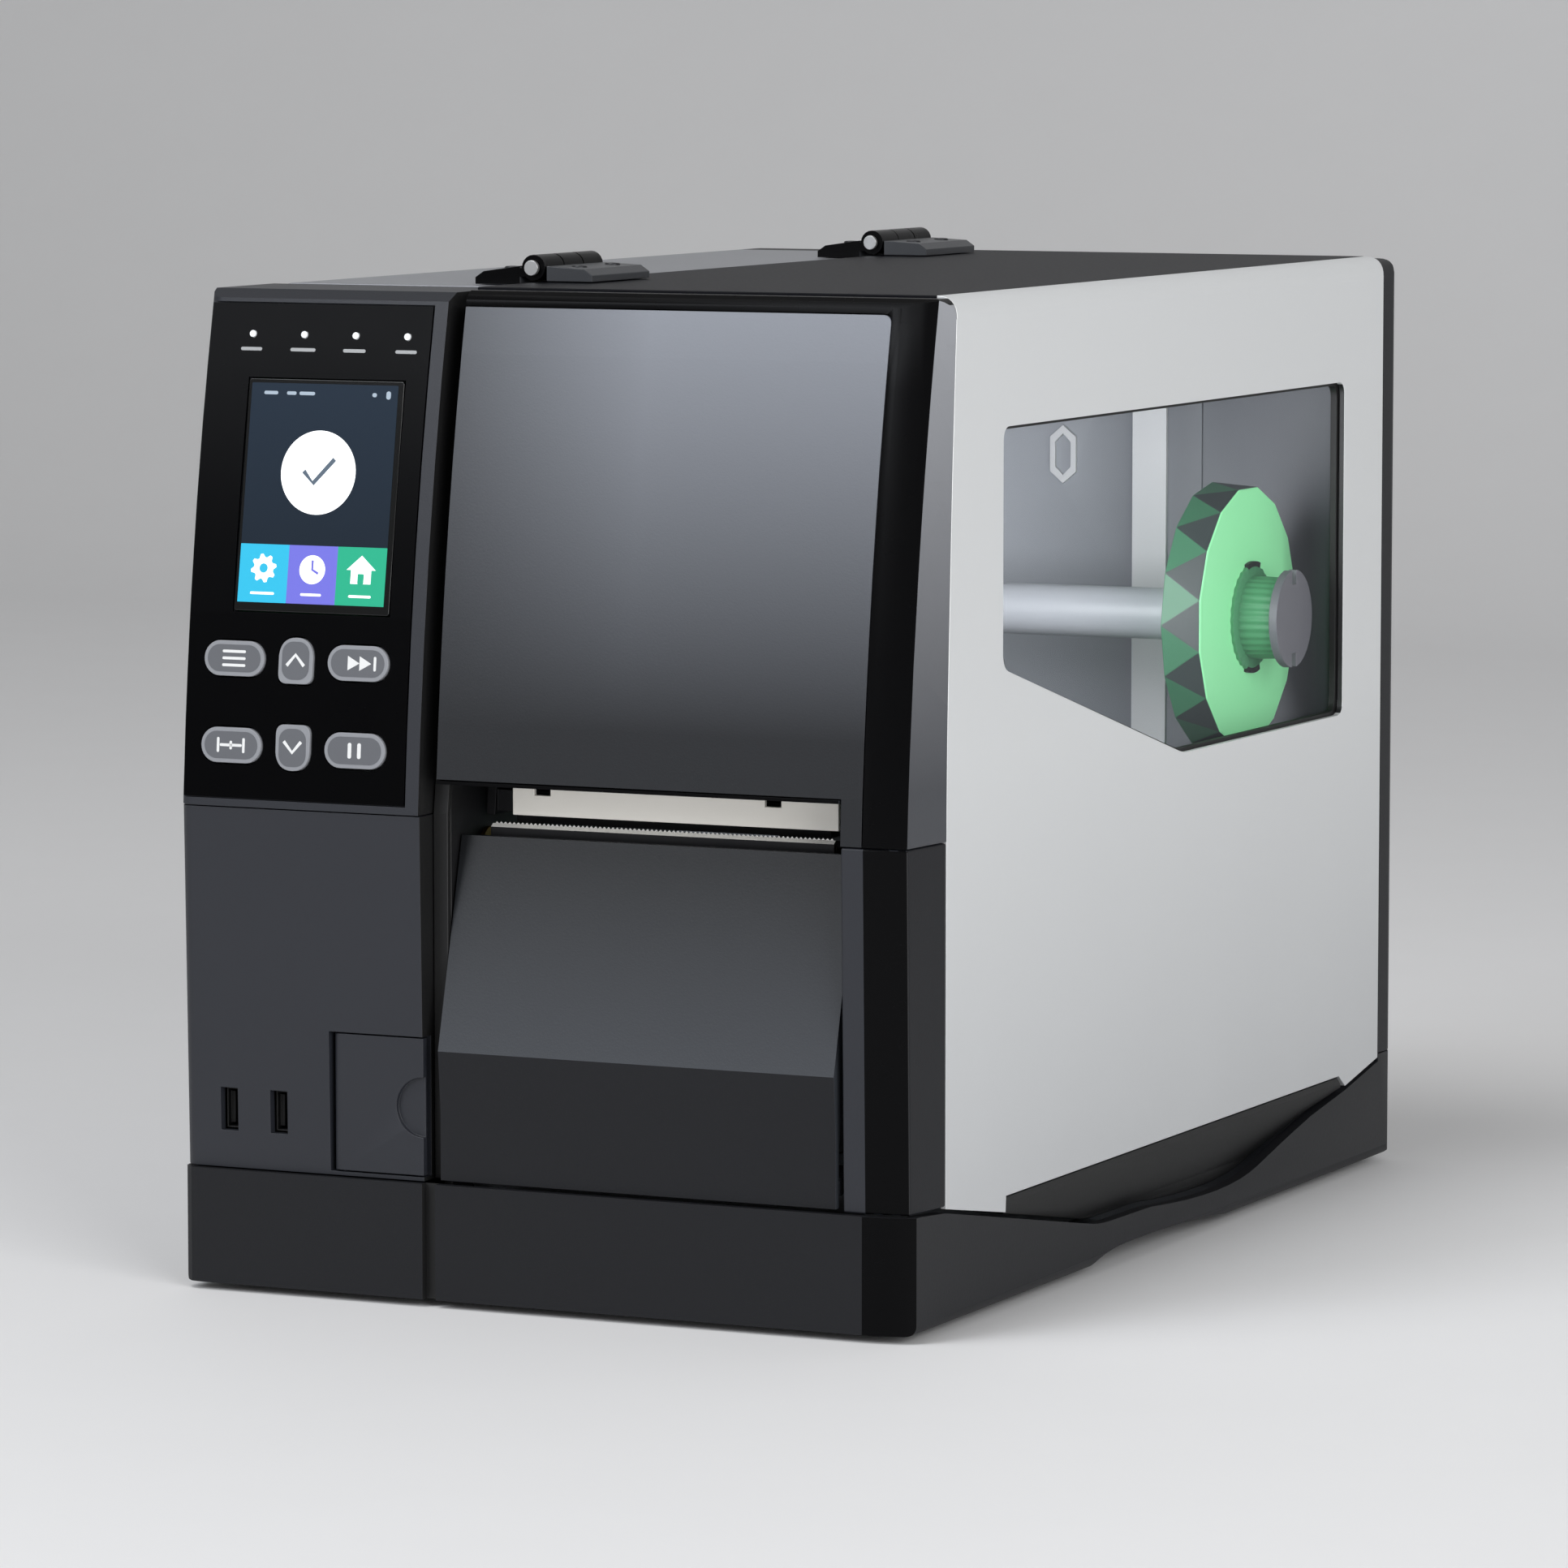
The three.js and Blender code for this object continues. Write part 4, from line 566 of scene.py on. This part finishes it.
# ------------------------------------------------------------------ settings
class PrinterLook(bpy.types.PropertyGroup):
    """Colours of the machine's finishes, as sRGB hex codes."""

    charcoal: bpy.props.StringProperty(
        name="Charcoal", description="Textured front mouldings", default="#24262c")
    base: bpy.props.StringProperty(
        name="Base", description="Skirt of the base", default="#121317")
    gloss_black: bpy.props.StringProperty(
        name="Gloss black", description="Polished mouldings", default="#050506")
    # Painted light: the side's upper colour; towards the bottom it darkens to #c5c7c9.
    silver: bpy.props.StringProperty(
        name="Silver", description="Side of the media door", default="#dddfe0")
    cover: bpy.props.StringProperty(
        name="Cover", description="Electronics cover", default="#8d8f94")
    door_top: bpy.props.StringProperty(
        name="Door top", description="Top of the media door", default="#090a10")
    lining: bpy.props.StringProperty(
        name="Lining", description="Lining of the media bay", default="#a3a6ad")
    # Painted shade: the lining right of the rib, and the dark end of the lining's ramp.
    lining_shaded: bpy.props.StringProperty(
        name="Lining, dark", description="Right of the rib", default="#5d6066")
    # Painted light: the upper colour that the moulding sides lighten to.
    side: bpy.props.StringProperty(
        name="Moulding sides", description="Sides of the front", default="#94969b")
    key: bpy.props.StringProperty(
        name="Keys", description="Rims of the keys", default="#85878c")
    key_face: bpy.props.StringProperty(
        name="Key faces", description="Faces of the keys", default="#5a5c61")
    guide: bpy.props.StringProperty(
        name="Guide", description="Media guide", default="#90e6a8")
    window_tint: bpy.props.StringProperty(
        name="Window tint", description="Tint of the window", default="#8b9098")


class PrinterSizes(bpy.types.PropertyGroup):
    """Sizes of the fine parts, in metres."""

    edge: bpy.props.FloatProperty(
        name="Moulded edge", description="Radius on the mouldings' edges",
        default=0.0007, subtype="DISTANCE", unit="LENGTH")
    sheet_edge: bpy.props.FloatProperty(
        name="Sheet edge", description="Radius on the sheet metal's edges",
        default=0.0004, subtype="DISTANCE", unit="LENGTH")
    screw: bpy.props.FloatProperty(
        name="Screw head", description="Diameter of a cover screw's head",
        default=0.0062, subtype="DISTANCE", unit="LENGTH")


def look():
    """The scene's colour settings."""
    return bpy.context.scene.printer_look


def sizes():
    """The scene's size settings."""
    return bpy.context.scene.printer_sizes


# ------------------------------------------------------------------ operators
class PRINTER_OT_materials(bpy.types.Operator):
    """Makes every finish."""

    bl_idname = "printer.materials"
    bl_label = "Finishes"

    def execute(self, context):
        make_materials(look())
        return {"FINISHED"}


class PRINTER_OT_mouldings(bpy.types.Operator):
    """Finishes the plastic mouldings of the cabinet and the doors."""

    bl_idname = "printer.mouldings"
    bl_label = "Mouldings"

    def execute(self, context):
        edge = sizes().edge / MM
        # Areas of a second finish; each test takes x, depth d, level l and the normal n.
        # Painted dark reflection: the black strip down the front right corner of the base and the
        # right column.
        band = ("gloss", lambda x, d, l, n: (x > 111.5) & (n[:, 1] < -0.6) & (d < 40))
        # Painted shade: near black on the slot in the base's front and on both walls of the front
        # groove.
        slot = ("dark", lambda x, d, l, n: (x > -41.3) & (x < -36) & (d > 0.2) & (d < 5))
        groove = ("dark", lambda x, d, l, n: (n[:, 0] > 0.8) & (x > -50) & (x < -30))
        inner = ("dark", lambda x, d, l, n: (n[:, 0] < -0.8) & (x > -50) & (x < -30))
        side = ("abs_side", lambda x, d, l, n: (n[:, 0] > 0.8) & (x > 100) & (l < 318))
        # Painted reflection: the rib's light grey is a bright streak mirrored in the window.
        rib = ("rib", lambda x, d, l, n: (x > 35.9) & (x < 49.1) & (d < 400))
        marker = ("rib", lambda x, d, l, n: (x > 3) & (x < 15) & (l > 235) & (d < 400.4))
        column_side = ("abs_base", lambda x, d, l, n: (n[:, 0] > 0.8) & (x > 100))
        lower = ("abs_base", lambda x, d, l, n: (l < 79) & (n[:, 1] < -0.9))
        # Painted shade: the lining right of the rib.
        right = ("lining_shaded", lambda x, d, l, n: (x > 62) | ((x > 49.1) & (d > 400.5)))
        for node, finish, width, areas in (
                ("base_frame", "abs_base", edge, [band, slot]),
                ("rear_cover", "abs_base", edge, []),
                ("control_housing", "abs", edge, [groove]),
                ("front_left_cover", "abs", 0.4, [groove]),
                ("front_right_column", "abs", edge, [column_side, band]),
                ("label_door", "abs_label", edge, [lower, inner]),
                ("access_door", "abs", 0.4, []),
                ("door_front_frame", "gloss", 1.0, [side]),
                ("door_front_panel", "abs_panel", 0.5, [inner]),
                ("door_grip", "grip", edge, []),
                ("door_liner", "dark", 0.3, []),
                ("bay_lining", "lining", 0.5, [right, rib, marker]),
                ("front_seam_strip", "dark", 0.3, [])):
            finish_cad(node, MATERIALS[finish], width, areas=areas)
        return {"FINISHED"}


class PRINTER_OT_sheet_metal(bpy.types.Operator):
    """Finishes the painted and plated sheet metal."""

    bl_idname = "printer.sheet_metal"
    bl_label = "Sheet metal"

    def execute(self, context):
        edge = sizes().sheet_edge / MM
        # The rear edge of the window's opening in the door's side is black.
        cut = ("painted_black",
               lambda x, d, l, n: (n[:, 1] < -0.5) & (d > 360) & (d < 370) & (l > 150))
        for node, finish, areas in (
                ("electronics_cover", "cover", []),
                ("door_side_panel", "silver", [cut]),
                ("door_top_panel", "door_top", []),
                # Painted shade: the bay wall is black where it shows deep by the label exit.
                ("bay_wall", "painted_black", []),
                ("mechanism_frame", "zinc", []),
                ("power_supply", "zinc", [])):
            finish_cad(node, MATERIALS[finish], edge, areas=areas)
        return {"FINISHED"}


class PRINTER_OT_small_parts(bpy.types.Operator):
    """Finishes the small machined and moulded parts."""

    bl_idname = "printer.small_parts"
    bl_label = "Small parts"

    def execute(self, context):
        plain = {
            "rubber": ["foot_front_left", "foot_front_right", "foot_rear_left", "foot_rear_right",
                       "platen_roller", "label_sensor", "mains_inlet", "power_switch",
                       "switch_bezel"],
            "pin": ["front_hinge_pin", "rear_hinge_pin"],
            "steel": ["platen_shaft", "drive_motor"],
            "dark": ["usb_ports"],
            "die_cast": ["head_carriage"],
            "head_metal": ["head_cover_plate"],
            "brass": ["platen_bearing_left", "platen_bearing_right", "motor_pinion"],
            "guide": ["head_lever"],
            "board": ["control_board"],
            "overlay": ["control_overlay"],
            "lamp": ["status_light_pipe"],
            "key": [f"button_{n}" for n in ("menu", "up", "feed", "calibrate", "down", "pause")],
            "dark_glass": ["display_module"],
            "glass": ["door_window"],
        }
        for finish, nodes in plain.items():
            for node in nodes:
                finish_cad(node, MATERIALS[finish], 0.25)
        barrel = ("gloss", lambda x, d, l, n: (abs(x + 38) < 4.3) & (l > 319.7))
        for end in ("front", "rear"):
            for leaf in ("fixed", "door"):
                finish_cad(f"{end}_hinge_{leaf}_leaf", MATERIALS["hinge"], 0.5, areas=[barrel])
        # Painted highlight: the bar is lighter than its end cap.
        bar = ("bar", lambda x, d, l, n: x < 115.5)
        finish_cad("media_hanger", MATERIALS["cap"], 0.25, areas=[bar])
        shells = ("steel", lambda x, d, l, n: d > 386)
        finish_cad("main_board", MATERIALS["board"], 0.2, areas=[shells])
        lip = ("tear_edge", lambda x, d, l, n: l > 148.8)
        finish_cad("tear_bar", MATERIALS["tear_dark"], 0, areas=[lip])
        return {"FINISHED"}


class PRINTER_OT_guide(bpy.types.Operator):
    """Models the media guide: a dish whose flank is folded in triangles, with a ribbed hub."""

    bl_idname = "printer.guide"
    bl_label = "Media guide"

    def execute(self, context):
        sides, face, centre = 16, GUIDE_FACE, GUIDE_AXIS
        half = math.pi / sides
        # Rings of points: the back rim, then, turned by half a side, the front rim and the slightly
        # domed face.
        rings = [((GUIDE_BACK, 46.5), 0), ((face - 0.5, 45.5), 1), ((face - 0.1, 44.9), 1),
                 ((face + 0.3, 36.0), 1), ((face + 0.5, 26.0), 1), ((face + 0.5, 18.6), 1)]
        points = np.vstack([turned([at], "x", centre, sides, half * turn)[0] for at, turn in rings])
        i = np.arange(sides)
        j = (i + 1) % sides
        flank = [*np.stack([i, j, sides + i], -1).tolist(),
                 *np.stack([j, sides + j, sides + i], -1).tolist()]
        rest = grid_faces(len(rings) - 1, sides, wrap_columns=True, first=sides)
        cover = [list(range(sides))[::-1], list(range(len(points) - sides, len(points)))]
        dish = new_object("media_guide_dish", points, flank + rest + cover, MATERIALS["guide"])
        for finish in ("guide_fold_shade", "guide_fold_half_shade"):
            dish.data.materials.append(MATERIALS[finish])
        # Painted shade: the flank's folds alternate between two darker greens.
        index = np.zeros(len(dish.data.polygons), int)
        index[:sides], index[sides:2 * sides] = 2, 1
        dish.data.polygons.foreach_set("material_index", index)
        mend(dish)
        rim = dish.modifiers.new("softened folds", "BEVEL")
        rim.width = 0.3 * MM
        rim.segments = 2
        rim.limit_method = "ANGLE"
        rim.angle_limit = math.radians(12)
        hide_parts("media_guide")
        ride_with(dish, "media_guide")
        # The hub: 30 fine ribs round a short boss, the radius being r (1 + 0.015 cos 30a).
        profile = np.array([(face - 1, 18.2), (face + 1.5, 18.2), (face + 1.9, 17.6),
                            (face + 1.9, 14.2), (GUIDE_END - 0.3, 13.8), (GUIDE_END, 13.4),
                            (GUIDE_END, 9.5)])
        count, ribbed = 180, len(profile) - 1
        grid = turned(profile, "x", centre, count)[0].reshape(len(profile), count, 3)
        a = np.linspace(0, 2 * math.pi, count, endpoint=False)
        axis = place(0, centre[1], centre[2])[1:]
        swell = (1 + 0.015 * np.cos(30 * a))[None, :, None]
        grid[:ribbed, :, 1:] = axis + (grid[:ribbed, :, 1:] - axis) * swell
        hub = new_object("media_guide_hub", grid.reshape(-1, 3),
                         grid_faces(len(profile), count, wrap_columns=True),
                         MATERIALS["guide_hub"], smooth=40)
        ride_with(mend(hub, 40), "media_guide")
        # Two crescent slots at the top and bottom of the hub: arcs of 34 degrees, 1.8 mm wide.
        t = np.linspace(-0.3, 0.3, 12)

        def on_face(q):
            return place(face + 0.6 + q[:, 2], centre[1] + q[:, 0], centre[2] + q[:, 1])

        slots = []
        for way in (1, -1):
            outer = np.column_stack([19.4 * np.sin(t), way * 19.4 * np.cos(t)])
            inner = np.column_stack([17.6 * np.sin(t), way * 17.6 * np.cos(t)])[::-1]
            slots.append(prism(np.vstack([outer, inner]), 0, 1.5, on_face))
        # Painted shade: the hub's slots are near-black pieces on its face.
        dark = new_object("media_guide_slots", *join_parts(slots), MATERIALS["dark"])
        ride_with(mend(dark), "media_guide")
        return {"FINISHED"}


class PRINTER_OT_screen(bpy.types.Operator):
    """Models the lit screen: a plain status page with a round sign and three tiles."""

    bl_idname = "printer.screen"
    bl_label = "Screen"

    def execute(self, context):
        def put(name, outlines, low, high, finish):
            printed(f"screen_{name}", outlines, SCREEN_X, SCREEN_LEVEL, SCREEN_LIFT + low,
                    SCREEN_LIFT + high, finish, "display_module")

        put("page", [shift(rounded_outline(52.6, 70.1, 0.3, 2), -0.4, 0.7)], -0.2, 0.06, "screen")
        put("sign", [shift(disc_outline(13.4, 64), -0.7, 7.5)], 0, 0.12, "screen_white")
        tick = stroke_outline([(-5.2, 0.4), (-1.6, -3.4), (5.6, 4.4)], 1.5)
        put("tick", [shift(tick, -0.7, 7.5)], 0.05, 0.16, "screen_slate")
        tiles = [("cyan", -17.93), ("violet", -0.4), ("green", 17.13)]
        for colour, u in tiles:
            tile = shift(rounded_outline(17.53, 18.6, 0.1, 2), u, -25.05)
            put(f"tile_{colour}", [tile], 0, 0.12, f"screen_{colour}")
        gear_at, clock_at, house_at = (u for _, u in tiles)
        house = np.array([(-3.6, -4.2), (3.6, -4.2), (3.6, 0.2), (5.2, 0.2), (0, 4.8), (-5.2, 0.2),
                          (-3.6, 0.2)])
        icons = [shift(gear_outline(8, 4.6, 3.5), gear_at, -23.4),
                 shift(disc_outline(4.6, 32), clock_at, -23.4), shift(house, house_at, -23.2)]
        words = [bar_outline(w, 0.8, u, -31.4) for (_, u), w in zip(tiles, (8.6, 7.4, 8.0))]
        put("icons", icons + words, 0.1, 0.2, "screen_white")
        hole = shift(disc_outline(1.5, 16), gear_at, -23.4)
        put("gear_hole", [hole], 0.15, 0.24, "screen_cyan")
        hands = stroke_outline([(0, 3.0), (0, 0), (2.2, -1.2)], 0.8)
        put("hands", [shift(hands, clock_at, -23.4)], 0.15, 0.24, "screen_violet")
        door = shift(rounded_outline(2.2, 3.2, 0.2, 2), house_at, -25.8)
        put("door", [door], 0.15, 0.24, "screen_green")
        marks = [bar_outline(width, height, u, 32.6) for width, height, u in (
            (5.0, 1.1, -19.6), (3.4, 1.1, -12.2), (5.6, 1.1, -6.6), (1.6, 1.3, 17.6),
            (1.6, 2.6, 22.6))]
        put("marks", marks, 0, 0.12, "screen_grey")
        return {"FINISHED"}


class PRINTER_OT_keys(bpy.types.Operator):
    """Models the faces and signs of the keys and the marks by the lights."""

    bl_idname = "printer.keys"
    bl_label = "Keys"

    def execute(self, context):
        up = stroke_outline([(-3.1, -1.6), (0, 1.9), (3.1, -1.6)], 1.1)
        triangle = np.array([(-1.9, -2.3), (2.3, 0), (-1.9, 2.3)])
        signs = {
            "menu": [bar_outline(8.4, 0.9, 0, v) for v in (2.2, 0, -2.2)],
            "up": [up],
            "feed": [shift(triangle, -1.6, 0), shift(triangle, 2.6, 0),
                     bar_outline(0.9, 4.6, 6.2, 0)],
            "calibrate": [bar_outline(0.9, 4.8, -4.6, 0), bar_outline(8.0, 0.9),
                          bar_outline(0.9, 4.8, 4.6, 0), bar_outline(0.9, 2.8)],
            "down": [shift(up * (1, -1), 0, 0.4)],
            "pause": [bar_outline(1.3, 5.0, -1.7, 0), bar_outline(1.3, 5.0, 1.7, 0)],
        }
        for k, (name, marks) in enumerate(signs.items()):
            x, level = KEY_COLUMNS[k % 3], KEY_ROWS[k // 3]
            node = f"button_{name}"
            # The middle column's keys are narrow and tall; a face is 1.3 mm inside its key.
            wide, high, less = (12.3, 14.7, 2.4) if k % 3 == 1 else (21.7, 11.3, 1.35)
            face = rounded_outline(wide - 2.6, high - 2.6, min(wide, high) / 2 - less, 8)
            printed(f"{node}_face", [face], x, level, 0.4, 0.78, "key_face", node)
            printed(f"{node}_sign", marks, x, level, 0.7, 0.84, "ink", node)
        widths = (7.6, 9.0, 8.0, 7.6)
        captions = [bar_outline(width, 1.1, u, -4.9) for u, width in zip(LIGHT_COLUMNS, widths)]
        printed("light_captions", captions, 0, CAPTION_LEVEL, -0.25, 0.03, "ink_dim",
                "control_overlay")
        return {"FINISHED"}


class PRINTER_OT_details(bpy.types.Operator):
    """Models the screws and the tear bar's teeth."""

    bl_idname = "printer.details"
    bl_label = "Screws and teeth"

    def execute(self, context):
        radius = sizes().screw / MM / 2
        rear = [(x, 420.0, level) for x in (-121, 121) for level in (46, 180, 308)]
        rear += [(0, 420.0, 308), (-44, 420.0, 46)]
        screws("rear_screws", rear, "y", 1, radius, "screw", "rear_cover")
        side = [(-128.5, depth, level) for depth in (78, 240, 394) for level in (44, 300)]
        screws("cover_screws", side, "x", -1, radius, "screw", "electronics_cover")
        for end, depth in HINGE_DEPTHS:
            for leaf, x, level in (("fixed", -50, 323.0), ("door", -26, 323.6)):
                places = [(x, depth + along, level) for along in (9, 33)]
                screws(f"{end}_{leaf}_hinge_screws", places, "z", 1, 2.6, "screw",
                       f"{end}_hinge_{leaf}_leaf")
        # Teeth: a saw of 1.5 mm pitch and 0.7 mm height along the tear edge.
        count = 78
        x = np.linspace(TEETH_FROM, TEETH_TO, 2 * count + 1)
        z = np.where(np.arange(2 * count + 1) % 2, 0.7, 0.0)
        outline = np.vstack([np.column_stack([x, z]), [(TEETH_TO, -1.0), (TEETH_FROM, -1.0)]])
        points, faces = prism(outline, 0, 0.4, lambda q: place(
            q[:, 0], TEETH_DEPTH + q[:, 2], TEETH_LEVEL + q[:, 1]))
        teeth = new_object("tear_teeth", points, faces, MATERIALS["steel"])
        ride_with(mend(teeth), "tear_bar")
        return {"FINISHED"}


class PRINTER_OT_stage(bpy.types.Operator):
    """A pale floor, soft studio lights and the camera."""

    bl_idname = "printer.stage"
    bl_label = "Studio"

    def execute(self, context):
        scene = context.scene
        # Painted backdrop paper: flat, matt and even.
        floor_finish = finish_surface("pale matt backdrop", "#e9e9ea", 0.7, grain=6, height=0.02,
                                      mottle=0.01)
        # The floor runs flat, rises through a quarter circle of 1.2 m and goes on straight up.
        t = np.linspace(0, 1, 24)
        bend = np.concatenate([np.linspace(-4.0, 2.2, 12), 2.2 + 1.2 * np.sin(t * math.pi / 2),
                               [3.4]])
        rise = np.concatenate([np.zeros(12), 1.2 * (1 - np.cos(t * math.pi / 2)), [5.0]])
        x = np.linspace(-6, 6, 2)
        points = np.stack([np.tile(x, (len(bend), 1)), np.repeat(bend[:, None], 2, 1),
                           np.repeat(rise[:, None], 2, 1)], -1)
        floor = new_object("studio_floor", points, grid_faces(len(bend), 2), floor_finish,
                           smooth=60)
        # Area lights: place and aim in metres, size in metres, power in watts.
        for name, at, aim, size, power, tint in (
                ("key_light", (2.3, -1.75, 0.85), (0.1, 0.0, 0.15), 1.8, 62, "#ffffff"),
                ("front_light", (-1.2, -2.4, 1.5), (0.0, -0.1, 0.2), 1.1, 24, "#f4f8ff"),
                ("top_light", (-0.6, -1.2, 2.7), (0.0, 0.0, 0.3), 1.4, 30, "#ffffff"),
                ("bay_light", (0.03, -0.05, 0.245), (-0.005, 0.19, 0.19), 0.14, 0.52, "#f8fbff")):
            data = bpy.data.lights.new(name, "AREA")
            data.shape = "RECTANGLE"
            data.size = size
            data.size_y = size
            data.energy = power
            data.color = linear(tint)[:3]
            lamp = bpy.data.objects.new(name, data)
            lamp.location = at
            direction = np.array(aim) - np.array(at)
            lamp.rotation_euler = (
                math.atan2(math.hypot(direction[0], direction[1]), -direction[2]), 0,
                math.atan2(direction[1], direction[0]) - math.pi / 2)
            lamp.visible_camera = False
            scene.collection.objects.link(lamp)
        world = bpy.data.worlds.new("studio")
        world.use_nodes = True
        background = world.node_tree.nodes["Background"]
        background.inputs[0].default_value = linear("#f2f2f1")
        background.inputs[1].default_value = 0.32
        scene.world = world
        data = bpy.data.cameras.new("camera")
        data.sensor_width = 36
        data.lens = 176.25
        camera = bpy.data.objects.new("camera", data)
        camera.location = (1.079, -2.337, 0.4185)
        camera.rotation_euler = (math.radians(90 - 5.987), 0, math.radians(25.04))
        scene.collection.objects.link(camera)
        scene.camera = camera
        scene.view_settings.view_transform = "Standard"
        return {"FINISHED"}


OPERATORS = [PRINTER_OT_materials, PRINTER_OT_mouldings, PRINTER_OT_sheet_metal,
             PRINTER_OT_small_parts, PRINTER_OT_guide, PRINTER_OT_screen, PRINTER_OT_keys,
             PRINTER_OT_details, PRINTER_OT_stage]


class PRINTER_PT_panel(bpy.types.Panel):
    """Lists the build steps and the settings."""

    bl_idname = "PRINTER_PT_panel"
    bl_label = "Label printer"
    bl_space_type = "VIEW_3D"
    bl_region_type = "UI"
    bl_category = "Label printer"

    def draw(self, context):
        for kind in OPERATORS:
            self.layout.operator(kind.bl_idname)
        for group in (context.scene.printer_look, context.scene.printer_sizes):
            for key in group.bl_rna.properties.keys():
                if key not in ("rna_type", "name"):
                    self.layout.prop(group, key)


CLASSES = [PrinterLook, PrinterSizes, *OPERATORS, PRINTER_PT_panel]


def register():
    """Registers the classes and hangs the settings on the scene."""
    for kind in CLASSES:
        bpy.utils.register_class(kind)
    bpy.types.Scene.printer_look = bpy.props.PointerProperty(type=PrinterLook)
    bpy.types.Scene.printer_sizes = bpy.props.PointerProperty(type=PrinterSizes)


def unregister():
    """Takes the settings off the scene and unregisters the classes."""
    del bpy.types.Scene.printer_sizes
    del bpy.types.Scene.printer_look
    for kind in reversed(CLASSES):
        bpy.utils.unregister_class(kind)


def main():
    """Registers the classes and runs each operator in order."""
    register()
    for kind in OPERATORS:
        module, name = kind.bl_idname.split(".")
        getattr(getattr(bpy.ops, module), name)()


if __name__ == "__main__":
    main()
